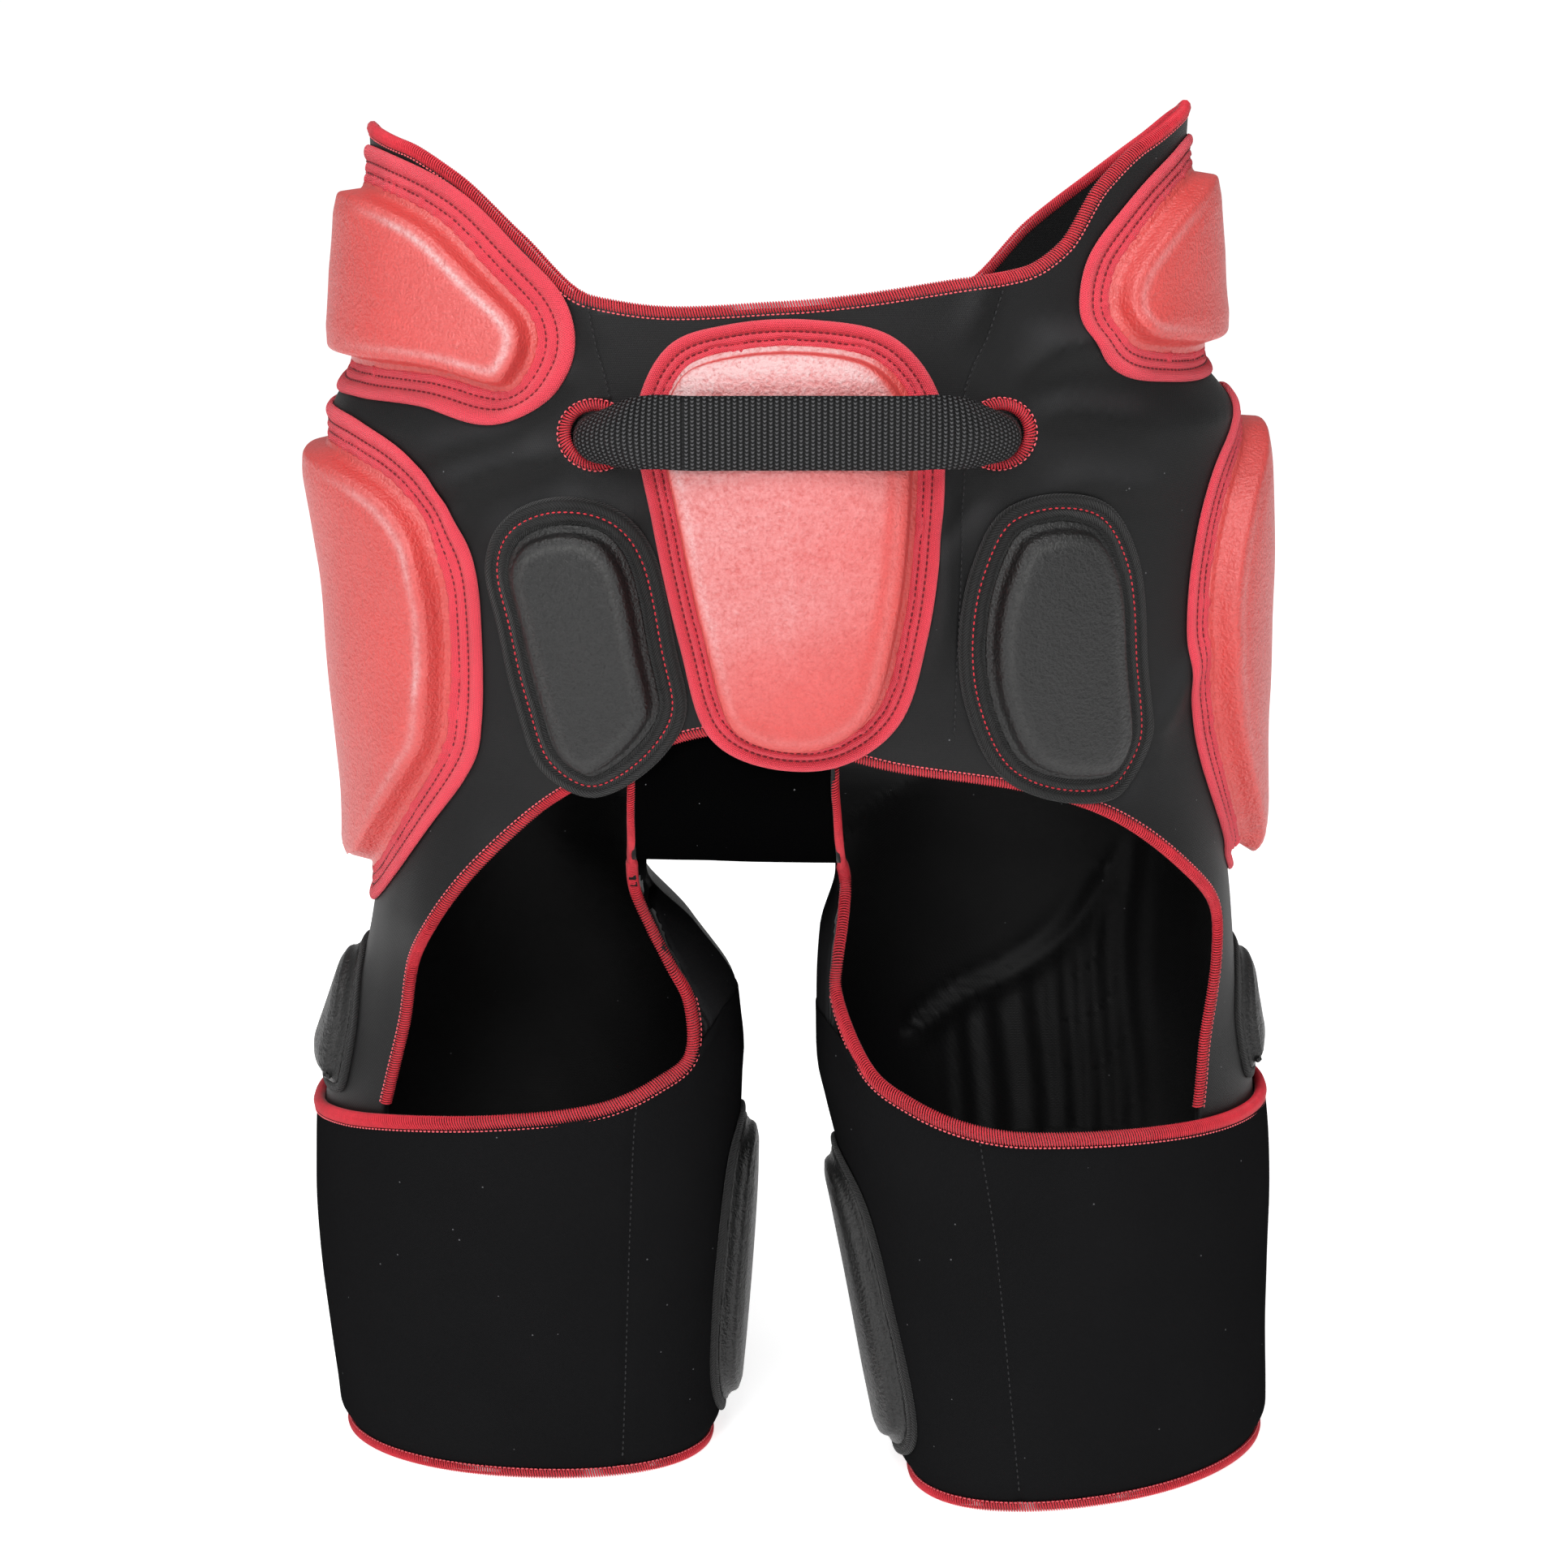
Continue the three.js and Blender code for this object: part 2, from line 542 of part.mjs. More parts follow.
const roundSection = radius => Array.from({ length: BINDING_SIDES }, (_, i) => {
  const turn = (i + 0.5) * 2 * Math.PI / BINDING_SIDES;
  return [radius * Math.cos(turn), radius * Math.sin(turn)];
});

// Round edge binding along an open path
function openBinding(points, steps, radius) {
  const shape = new THREE.Shape(roundSection(radius).map(([x, y]) => new THREE.Vector2(x, y)));
  const path = new THREE.CatmullRomCurve3(points, false, 'centripetal');
  return solid(new THREE.ExtrudeGeometry(shape, { steps, bevelEnabled: false, extrudePath: path }));
}

// Binding round a closed path, its section given by its points outwards and upwards
function closedBinding(points, section) {
  const rings = points.map((point, i) => {
    const next = points[(i + 1) % points.length];
    const last = points[(i + points.length - 1) % points.length];
    const along = next.clone().sub(last).normalize();
    const out = along.clone().cross(new THREE.Vector3(0, 0, 1)).normalize();
    const up = out.clone().cross(along).normalize();
    return section.map(([o, u]) => point.clone().addScaledVector(out, o).addScaledVector(up, u));
  });
  return solid(loft(rings, 'joined'));
}

// Waist binding, on the middle of the wall
const waistPath = Array.from({ length: HIP_SIDES }, (_, k) => {
  const angle = k * 360 / HIP_SIDES;
  return planPoint(hipPlan, angle, readEdge(WAIST_EDGE, angle) * HEIGHT, -SHELL_WALL / 2);
});
const waistBinding = radius => closedBinding(waistPath, roundSection(radius));

// Binding under the front panel, on the middle of the wall
const frontPanelPath = FRONT_PANEL_EDGE.map(row => frontPoint(row, -SHELL_WALL / 2));
const frontPanelBinding = radius => openBinding(frontPanelPath, EDGE_STEPS, radius);

// Binding along a cuff's top, from the back round the outer side, then up the inner edge
function thighBinding(plan, cuffEdge, innerEdge, angles, radius) {
  const onCuff = angles.map(angle => planPoint(
    plan, angle, readEdge(cuffEdge, angle) * HEIGHT, BINDING_RADIUS + BINDING_ROOM));
  const onPanel = innerEdge.map(row => frontPoint(row, -SHELL_WALL / 2));
  return openBinding([...onCuff, ...onPanel.slice(1)], EDGE_STEPS, radius);
}
const leftThighBinding = radius => thighBinding(
  leftThighPlan, LEFT_CUFF_EDGE, LEFT_INNER_EDGE, LEFT_BINDING_ANGLES, radius);
const rightThighBinding = radius => thighBinding(
  rightThighPlan, RIGHT_CUFF_EDGE, RIGHT_INNER_EDGE, RIGHT_BINDING_ANGLES, radius);

// Hem binding with a flat foot on the ground
function hemBinding(plan) {
  const points = Array.from({ length: HEM_STEPS }, (_, k) => planPoint(
    plan, k * 360 / HEM_STEPS, 0, GAP + CUFF_WALL / 2));
  const half = HEM_WIDTH / 2;
  const foot = 0.7 * half;
  return closedBinding(points, [
    [foot, 0], [half, HEM_HEIGHT / 2], [foot, HEM_HEIGHT],
    [-foot, HEM_HEIGHT], [-half, HEM_HEIGHT / 2], [-foot, 0],
  ]);
}

// Strap slots: an oval hole in the front with a round binding
const strapHeight = STRAP_LEVEL * HEIGHT;
const slotLevel = strapHeight - SLOT_DROP;
const strapTop = slotLevel + STRAP_WIDTH / 2;
const curlRadius = STRAP_WIDTH / 2 / SLOT_CURL;
const slotHalfHeight = curlRadius + STRAP_THICKNESS / 2 + BINDING_SEAT + GAP;
function slotPath(x) {
  return Array.from({ length: SLOT_STEPS }, (_, k) => {
    const turn = k * 2 * Math.PI / SLOT_STEPS;
    const px = x + SLOT_HALF_WIDTH * Math.cos(turn);
    const pz = slotLevel + slotHalfHeight * Math.sin(turn);
    return new THREE.Vector3(px, frontDepth(px, pz, -SHELL_WALL / 2), pz);
  });
}
function slotBinding(x, radius) {
  const points = slotPath(x);
  const centre = middleOf(points);
  const after = i => points[(i + 1) % points.length].clone();
  const before = i => points[(i + points.length - 1) % points.length];
  const facing = new THREE.Vector3();
  points.forEach((p, i) => facing.add(p.clone().sub(centre).cross(after(i).sub(centre))));
  facing.normalize();
  const rings = points.map((point, i) => {
    const along = after(i).sub(before(i)).normalize();
    const out = along.clone().cross(facing).normalize();
    const place = ([o, u]) => point.clone().addScaledVector(out, o).addScaledVector(facing, u);
    return roundSection(radius).map(place);
  });
  return solid(loft(rings, 'joined'));
}
function slotHole(x) {
  const ring = y => Array.from({ length: SLOT_STEPS }, (_, k) => {
    const turn = k * 2 * Math.PI / SLOT_STEPS;
    const across = (SLOT_HALF_WIDTH + BINDING_SEAT) * Math.cos(turn);
    const up = (slotHalfHeight + BINDING_SEAT) * Math.sin(turn);
    return new THREE.Vector3(x + across, y, slotLevel + up);
  });
  return solid(loft([ring(-REACH), ring(-HALF_DEPTH / 2)]));
}

// Webbing: one loop, over the front pad outside, through both slots, and round the back inside
function strapLoop() {
  const face = frontDepth(0, strapHeight, 0) - FRONT_PAD_THICKNESS - STRAP_LIFT - GAP - STRAP_THICKNESS;
  const slotRun = (x, side) => {
    const skin = frontDepth(x, slotLevel, 0);
    const depths = { face, midway: (face + skin) / 2, skin };
    return SLOT_PASSAGE.map(row => ({
      x: x + side * row.out * STRAP_WIDTH,
      y: depths[row.from] + row.back * STRAP_WIDTH,
      z: strapHeight - row.down * STRAP_WIDTH,
      curl: row.curl,
    }));
  };
  const inside = Array.from({ length: STRAP_STOPS_INSIDE }, (_, k) => {
    const angle = STRAP_BACK_FROM + k * (360 - 2 * STRAP_BACK_FROM) / (STRAP_STOPS_INSIDE - 1);
    const point = planPoint(hipPlan, angle, strapTop, -SHELL_WALL - GAP - STRAP_THICKNESS / 2 - STRAP_EASE);
    const drop = STRAP_BACK_DROP * Math.sin(Math.PI * k / (STRAP_STOPS_INSIDE - 1));
    return { x: point.x, y: point.y, z: slotLevel - drop, curl: 0 };
  });
  const across = STRAP_FRONT.map(side => ({ x: side * HALF_WIDTH, y: face, z: strapHeight, curl: 0 }));
  const route = [...across, ...slotRun(SLOT_RIGHT, 1), ...inside, ...slotRun(SLOT_LEFT, -1).reverse()];
  const half = STRAP_THICKNESS / 2;
  const rings = route.map((stop, i) => {
    const next = route[(i + 1) % route.length];
    const last = route[(i + route.length - 1) % route.length];
    const along = new THREE.Vector2(next.x - last.x, next.y - last.y).normalize();
    const out = new THREE.Vector2(along.y, -along.x);
    const radius = stop.curl > 0 ? STRAP_WIDTH / 2 / stop.curl : 0;
    const middle = radius * (1 - Math.cos(Math.min(stop.curl, Math.PI / 2)));
    const place = (share, side) => {
      const turn = share * stop.curl;
      const rise = radius > 0 ? (radius + side * half) * Math.sin(turn) : share * STRAP_WIDTH / 2;
      const bulge = radius > 0 ? (radius + side * half) * Math.cos(turn) - radius + middle : side * half;
      return new THREE.Vector3(stop.x + out.x * bulge, stop.y + out.y * bulge, stop.z + rise);
    };
    const shares = Array.from({ length: STRAP_PARTS + 1 }, (_, k) => -1 + k * 2 / STRAP_PARTS);
    return [...shares.map(share => place(share, 1)), ...[...shares].reverse().map(share => place(share, -1))];
  });
  return solid(loft(rings, 'joined'));
}

// Region of the front view as a block through the body's front half
function frontRegion(points, room = 0) {
  const shape = new THREE.Shape(points.map(point => new THREE.Vector2(point.x, point.z)));
  const block = new THREE.ExtrudeGeometry(shape, { depth: REACH, bevelEnabled: false });
  block.rotateX(Math.PI / 2);
  block.translate(0, SEAM_DEPTH + room, 0);
  return solid(block);
}
const floorPoint = x => new THREE.Vector3(x, 0, -HEM_HEIGHT);
const curveOf = (points, closed) => new THREE.CatmullRomCurve3(points, closed, 'centripetal');
const smooth = (points, count) => curveOf(points, false).getSpacedPoints(count);

// A line of the front view moved to its left, as one looks along it, or to its right where negative
function sideways(line, distance) {
  return line.map((point, i) => {
    const next = line[Math.min(i + 1, line.length - 1)];
    const last = line[Math.max(i - 1, 0)];
    const along = new THREE.Vector2(next.x - last.x, next.z - last.z).normalize();
    return new THREE.Vector3(point.x - along.y * distance, point.y, point.z + along.x * distance);
  });
}
const panelLine = smooth(frontPanelPath, EDGE_STEPS);
const panelTop = sideways(panelLine, BINDING_SEAT);
const panelUnder = sideways(panelLine, -BINDING_SEAT);
const innerLine = table => smooth(table.map(row => frontPoint(row, 0)), LINE_STEPS);
const leftLine = sideways(innerLine(LEFT_INNER_EDGE), -BINDING_SEAT);
const rightLine = sideways(innerLine(RIGHT_INNER_EDGE), BINDING_SEAT);
const ends = line => [line[0], line[line.length - 1]];
const below = line => ends(line).map(point => floorPoint(point.x));
const openFront = frontRegion([below(panelTop)[0], ...panelTop, below(panelTop)[1]], GAP);
const underPanel = frontRegion([below(panelUnder)[0], ...panelUnder, below(panelUnder)[1]]);
const hiddenTop = line => new THREE.Vector3(ends(line)[1].x, 0, ends(line)[1].z + 0.05 * HEIGHT);
const tail = 0.12 * HALF_WIDTH;
const gussetRegion = frontRegion([
  floorPoint(leftLine[0].x - tail),
  ...leftLine,
  hiddenTop(leftLine),
  hiddenTop(rightLine),
  ...[...rightLine].reverse(),
  floorPoint(rightLine[0].x + tail * 2),
]).intersect(underPanel);

// Body shell and gusset
const fatRadius = BINDING_RADIUS + 1.4 * GAP;
const form = bodyForm(0);
const hollow = bodyForm(-SHELL_WALL, HEM_HEIGHT, HEM_HEIGHT * 3);
const wall = cut(form, hollow, above(hipPlan, WAIST_EDGE, HIP_SIDES, TOP));
const fatFront = frontPanelBinding(fatRadius);
const fatLeft = leftThighBinding(fatRadius);
const fatRight = rightThighBinding(fatRadius);
const bodyShell = largest(cut(wall, openFront, slotHole(SLOT_LEFT), slotHole(SLOT_RIGHT)));
const gusset = largest(cut(wall.intersect(gussetRegion), fatLeft, fatRight));

// Cuffs
const cuffLevels = [hemTop, ...thighLevels.filter(z => z > hemTop && z < 0.4 * HEIGHT)];
function cuff(plan, edge) {
  const outer = tube(plan, cuffLevels, THIGH_SIDES, GAP + CUFF_WALL);
  const inner = tube(plan, cuffLevels, THIGH_SIDES, GAP, HEM_HEIGHT, HEM_HEIGHT);
  return largest(cut(outer, inner, above(plan, edge, THIGH_SIDES, HEIGHT)));
}

const clearForm = bodyForm(GAP);
const hipSurface = roundSurface(sidePlan);
const centreRoom = footprint(frontSurface, FRONT_PAD, TRIM_THICKNESS * 3);
const leftSkin = roundSurface(leftThighPlan);
const rightSkin = roundSurface(rightThighPlan);
const leftCuffSkin = roundSurface(leftThighPlan, GAP + CUFF_WALL);
const rightCuffSkin = roundSurface(rightThighPlan, GAP + CUFF_WALL);
const leftCuff = cuff(leftThighPlan, LEFT_CUFF_EDGE);
const rightCuff = cuff(rightThighPlan, RIGHT_CUFF_EDGE);

const RED_FOAM = { color: 0xe0584e, roughness: 0.45 };
const RED_FABRIC = { color: 0xd83a4a, roughness: 0.8 };
const RED_THREAD = { color: 0xc4202e, roughness: 0.7 };
const BLACK_FABRIC = { color: 0x141416, roughness: 0.85 };
const BLACK_NEOPRENE = { color: 0x17171a, roughness: 0.75 };
const BLACK_FOAM = { color: 0x2e2e30, roughness: 0.5 };
const BLACK_TAPE = { color: 0x1b1b1c, roughness: 0.9 };
const BLACK_WEBBING = { color: 0x101011, roughness: 0.6 };

const girdle = new THREE.Group();
girdle.name = 'hip_pad';
function add(name, body, look) {
  const mesh = body.getMesh();
  const geometry = new THREE.BufferGeometry();
  geometry.setAttribute('position', new THREE.Float32BufferAttribute(mesh.vertProperties, 3));
  geometry.setIndex([...mesh.triVerts]);
  const piece = new THREE.Mesh(geometry, new THREE.MeshStandardMaterial({ ...look, metalness: 0 }));
  piece.name = name;
  girdle.add(piece);
}

add('body_shell', bodyShell, BLACK_FABRIC);
add('crotch_gusset', gusset, BLACK_FABRIC);
add('waist_binding', waistBinding(BINDING_RADIUS), RED_THREAD);
add('front_panel_binding', frontPanelBinding(BINDING_RADIUS), RED_THREAD);
add('thigh_binding_left', leftThighBinding(BINDING_RADIUS), RED_THREAD);
add('thigh_binding_right', rightThighBinding(BINDING_RADIUS), RED_THREAD);
add('hem_binding_left', hemBinding(leftThighPlan), RED_THREAD);
add('hem_binding_right', hemBinding(rightThighPlan), RED_THREAD);
add('slot_binding_left', slotBinding(SLOT_LEFT, BINDING_RADIUS), RED_THREAD);
add('slot_binding_right', slotBinding(SLOT_RIGHT, BINDING_RADIUS), RED_THREAD);
add('belt_strap', strapLoop(), BLACK_WEBBING);
add('thigh_cuff_left', leftCuff, BLACK_NEOPRENE);
add('thigh_cuff_right', rightCuff, BLACK_NEOPRENE);

const RED_LOOKS = [RED_FOAM, RED_FABRIC];
const BLACK_LOOKS = [BLACK_FOAM, BLACK_TAPE];
function addPad(place, side, surface, table, width, thickness, looks, under, ...keepOff) {
  const sides = thickness > THIGH_PAD_THICKNESS ? PAD_SIDES : SMALL_PAD_SIDES;
  const edging = looks === RED_LOOKS ? 'trim' : 'tape';
  const room = border(surface, table, sides, width + PAD_GROOVE / 2);
  const block = cut(foam(surface, table, sides, width, thickness), under, room, ...keepOff);
  add(`${place}_pad${side}`, largest(block), looks[0]);
  add(`${place}_${edging}${side}`, largest(cut(border(surface, table, sides, width), ...keepOff)), looks[1]);
}
const halfTape = TAPE_WIDTH / 2;
const cuffForm = plan => tube(plan, cuffLevels, THIGH_SIDES, GAP * 2 + CUFF_WALL);
const padKinds = {
  front: [frontSurface, TRIM_WIDTH, FRONT_PAD_THICKNESS, RED_LOOKS, clearForm],
  hip: [hipSurface, TRIM_WIDTH, HIP_PAD_THICKNESS, RED_LOOKS, clearForm],
  groin: [frontSurface, TAPE_WIDTH, GROIN_PAD_THICKNESS, BLACK_LOOKS, clearForm],
  leftThigh: [leftSkin, halfTape, THIGH_PAD_THICKNESS, BLACK_LOOKS, clearForm],
  rightThigh: [rightSkin, halfTape, THIGH_PAD_THICKNESS, BLACK_LOOKS, clearForm],
  leftCuff: [leftCuffSkin, halfTape, THIGH_PAD_THICKNESS, BLACK_LOOKS, cuffForm(leftThighPlan)],
  rightCuff: [rightCuffSkin, halfTape, THIGH_PAD_THICKNESS, BLACK_LOOKS, cuffForm(rightThighPlan)],
};
const PADS = columns(['place', 'side', 'kind', 'table', 'keepOff'], [
  ['front', '', 'front', FRONT_PAD, [fatFront]],
  ['upper_hip', '_left', 'hip', UPPER_LEFT_PAD, []],
  ['upper_hip', '_right', 'hip', UPPER_RIGHT_PAD, []],
  ['lower_hip', '_left', 'hip', LOWER_LEFT_PAD, [fatFront]],
  ['lower_hip', '_right', 'hip', LOWER_RIGHT_PAD, [fatFront]],
  ['groin', '_left', 'groin', GROIN_LEFT_PAD, [fatFront, fatLeft, centreRoom]],
  ['groin', '_right', 'groin', GROIN_RIGHT_PAD, [fatFront, centreRoom]],
  ['outer_thigh', '_left', 'leftThigh', LEFT_OUTER_THIGH_PAD, [fatLeft]],
  ['outer_thigh', '_right', 'rightThigh', RIGHT_OUTER_THIGH_PAD, [fatRight]],
  ['inner_thigh', '_left', 'leftCuff', LEFT_INNER_THIGH_PAD, []],
  ['inner_thigh', '_right', 'rightCuff', RIGHT_INNER_THIGH_PAD, []],
]);
PADS.forEach(pad => {
  const [surface, width, thickness, looks, under] = padKinds[pad.kind];
  addPad(pad.place, pad.side, surface, pad.table, width, thickness, looks, under, ...pad.keepOff);
});

// The reference point is the middle of the footprint, on the ground
const box = new THREE.Box3().setFromObject(girdle);
girdle.position.set(-(box.min.x + box.max.x) / 2, -(box.min.y + box.max.y) / 2, -box.min.z);

export default girdle;
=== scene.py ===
# Padded hip girdle standing on a pale studio floor. The girdle's own sizes are in millimetres.
import math
from functools import partial

import bpy
import numpy as np
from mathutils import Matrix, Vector


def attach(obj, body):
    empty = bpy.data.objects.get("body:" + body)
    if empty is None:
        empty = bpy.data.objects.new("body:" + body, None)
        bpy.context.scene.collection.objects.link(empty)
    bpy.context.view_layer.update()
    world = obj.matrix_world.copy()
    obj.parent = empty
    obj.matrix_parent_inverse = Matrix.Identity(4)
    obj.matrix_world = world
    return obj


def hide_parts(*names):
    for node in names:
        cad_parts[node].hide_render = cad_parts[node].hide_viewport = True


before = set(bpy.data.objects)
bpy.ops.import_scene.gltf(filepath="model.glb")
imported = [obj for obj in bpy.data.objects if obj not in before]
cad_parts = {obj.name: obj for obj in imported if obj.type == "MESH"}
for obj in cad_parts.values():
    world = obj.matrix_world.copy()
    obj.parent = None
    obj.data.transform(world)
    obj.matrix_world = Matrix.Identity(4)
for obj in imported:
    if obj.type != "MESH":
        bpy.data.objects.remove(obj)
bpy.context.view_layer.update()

METRE = 0.001
PLACE = np.array([-3.588, 9.006, 0.0])

# Sizes of the girdle
HEIGHT = 600
HALF_WIDTH = 200
HALF_DEPTH = 100
WALL = 3
CUFF_GAP = 0.3
CUFF_WALL = 4
HIP_ROUNDNESS = 2.3
THIGH_ROUNDNESS = 2.15
CREASE = 20
HIP_FLOOR = 281
SEAM_DEPTH = 15
GUSSET_SEAM = 1.6
SEAM_REACH = 12
HIP_RADIUS = 150
SHELL_END = 118
STRAP_LEVEL = 480
STRAP_WIDTH = 30
STRAP_THICKNESS = 1.8
STRAP_BACK_DROP = 8
SLOT_LEVEL = 474
SLOT_LEFT = -76
SLOT_RIGHT = 87
SLOT_HALF_WIDTH = 13
SLOT_HALF_HEIGHT = 12
FRONT_THICKNESS = 22
LEFT_TURN = -7
RIGHT_TURN = 20

# level, left, right, front, back
HIPS = np.array([
    [0.453, 0.855, 0.955, 0.08, 0.62],
    [0.480, 0.860, 0.960, 0.68, 0.94],
    [0.533, 0.880, 0.960, 1.00, 1.13],
    [0.583, 0.895, 0.965, 1.08, 1.16],
    [0.667, 0.910, 0.965, 1.11, 1.16],
    [0.780, 0.960, 0.955, 1.09, 1.10],
    [0.820, 0.900, 0.880, 1.07, 1.06],
    [0.875, 0.880, 0.850, 1.01, 1.00],
    [0.933, 0.870, 0.840, 0.96, 0.94],
    [1.020, 0.875, 0.850, 0.88, 0.87],
])
# level, outer, inner, front, back
LEFT_THIGH = np.array([
    [0.000, -0.980, -0.170, 0.48, 0.76],
    [0.200, -1.025, -0.125, 0.60, 0.88],
    [0.280, -1.015, -0.115, 0.68, 0.93],
    [0.342, -0.960, -0.100, 0.76, 0.97],
    [0.392, -0.910, -0.190, 0.84, 1.00],
    [0.437, -0.885, -0.300, 0.92, 1.04],
    [0.575, -0.830, -0.280, 0.76, 0.82],
])
RIGHT_THIGH = np.array([
    [0.000, 1.070, 0.285, 0.80, 0.60],
    [0.200, 1.060, 0.170, 0.82, 0.76],
    [0.280, 1.040, 0.110, 0.84, 0.84],
    [0.342, 1.005, 0.070, 0.87, 0.92],
    [0.392, 0.985, 0.075, 0.92, 0.97],
    [0.437, 0.970, 0.110, 0.96, 1.02],
    [0.575, 0.900, 0.100, 0.76, 0.84],
])
# angle, level
WAIST_EDGE = np.array([
    [-180, 0.820], [-155, 0.826], [-143, 0.858], [-130, 0.893], [-118, 0.925], [-100, 0.968], [-84, 0.980],
    [-61, 0.973],
    [-48, 0.955], [-35, 0.917], [-23, 0.878], [-12, 0.872], [0, 0.876], [21, 0.889], [32, 0.895],
    [40, 0.912], [48, 0.950], [60, 0.976], [86, 0.994], [100, 0.984], [117, 0.958], [130, 0.930],
    [143, 0.894],
    [155, 0.845], [168, 0.824],
])
LEFT_CUFF_EDGE = np.array([
    [-180, 0.275], [-120, 0.263], [-90, 0.260], [-60, 0.268], [-30, 0.280], [0, 0.289],
    [20, 0.296], [40, 0.315], [53, 0.335], [70, 0.350], [100, 0.345], [140, 0.300],
])
RIGHT_CUFF_EDGE = np.array([
    [-180, 0.275], [-140, 0.300], [-100, 0.340], [-75, 0.345], [-62, 0.338], [-48, 0.322],
    [-28, 0.295], [-10, 0.284], [21, 0.280], [50, 0.275], [85, 0.271], [130, 0.270],
])
# side, level
PANEL_EDGE = np.array([
    [-0.865, 0.288], [-0.820, 0.350], [-0.790, 0.405], [-0.700, 0.460], [-0.550, 0.512],
    [-0.300, 0.570], [-0.100, 0.588], [0.220, 0.560], [0.510, 0.540], [0.700, 0.515],
    [0.840, 0.476], [0.925, 0.436], [0.935, 0.395], [0.910, 0.335], [0.895, 0.290],
])
LEFT_INNER_EDGE = np.array([
    [-0.170, 0.345], [-0.235, 0.388], [-0.290, 0.420], [-0.320, 0.445], [-0.320, 0.490], [-0.315, 0.548],
])
RIGHT_INNER_EDGE = np.array([
    [0.105, 0.348], [0.107, 0.385], [0.128, 0.438], [0.118, 0.480], [0.105, 0.543],
])
# angle, level on the sides; side, level in front
UPPER_LEFT = np.array([
    [-86, 0.960], [-62, 0.958], [-47, 0.940], [-36, 0.905], [-28, 0.873], [-27, 0.838],
    [-33, 0.802], [-50, 0.808], [-70, 0.806], [-100, 0.803], [-121, 0.826], [-127, 0.872], [-114, 0.930],
])
UPPER_RIGHT = np.array([
    [86, 0.972], [66, 0.958], [53, 0.930], [44.5, 0.897], [43, 0.860], [48, 0.830],
    [62, 0.817], [90, 0.812], [112, 0.822], [125, 0.852], [126, 0.888], [112, 0.940],
])
LOWER_LEFT = np.array([
    [-88, 0.780], [-64, 0.778], [-50, 0.757], [-43, 0.715], [-42, 0.650], [-44, 0.568],
    [-52, 0.515], [-66, 0.464], [-86, 0.430], [-106, 0.440], [-124, 0.515], [-131, 0.610], [-127, 0.710],
    [-112, 0.766],
])
LOWER_RIGHT = np.array([
    [90, 0.792], [77, 0.772], [66, 0.742], [60, 0.690], [59, 0.630], [63, 0.562],
    [73, 0.500], [88, 0.446], [106, 0.450], [122, 0.510], [130, 0.600], [127, 0.700], [110, 0.775],
])
FRONT = np.array([
    [-0.295, 0.806], [-0.230, 0.850], [-0.110, 0.864], [0.060, 0.867], [0.220, 0.855], [0.310, 0.817],
    [0.320, 0.758], [0.290, 0.653], [0.230, 0.590], [0.110, 0.562], [-0.040, 0.562], [-0.150, 0.583],
    [-0.210, 0.647], [-0.265, 0.733],
])
GROIN_LEFT = np.array([
    [-0.610, 0.700], [-0.560, 0.733], [-0.450, 0.748], [-0.330, 0.740], [-0.265, 0.713], [-0.220, 0.647],
    [-0.200, 0.597], [-0.280, 0.557], [-0.400, 0.535], [-0.500, 0.552], [-0.550, 0.597], [-0.585, 0.650],
])
GROIN_RIGHT = np.array([
    [0.380, 0.700], [0.440, 0.737], [0.550, 0.748], [0.660, 0.738], [0.725, 0.700], [0.750, 0.627],
    [0.760, 0.563], [0.700, 0.530], [0.560, 0.530], [0.440, 0.553], [0.370, 0.603], [0.355, 0.653],
])
OUTER_THIGH_LEFT = np.array([
    [-60, 0.290], [-66, 0.345], [-84, 0.385], [-108, 0.370], [-118, 0.320], [-112, 0.284], [-86, 0.281],
])
OUTER_THIGH_RIGHT = np.array([
    [70, 0.296], [72, 0.345], [88, 0.384], [110, 0.372], [120, 0.325], [114, 0.292], [90, 0.290],
])
INNER_THIGH_LEFT = np.array([
    [72, 0.235], [66, 0.160], [68, 0.060], [84, 0.024], [108, 0.040], [120, 0.130], [112, 0.225], [92, 0.258],
])
INNER_THIGH_RIGHT = np.array([
    [-67, 0.225], [-61, 0.150], [-60, 0.050], [-78, 0.024], [-104, 0.035], [-118, 0.120], [-110, 0.215],
    [-90, 0.250],
])


# Camera, floor and light

EYE = 2000
LOOK_DOWN = math.radians(14)
AIM = 303


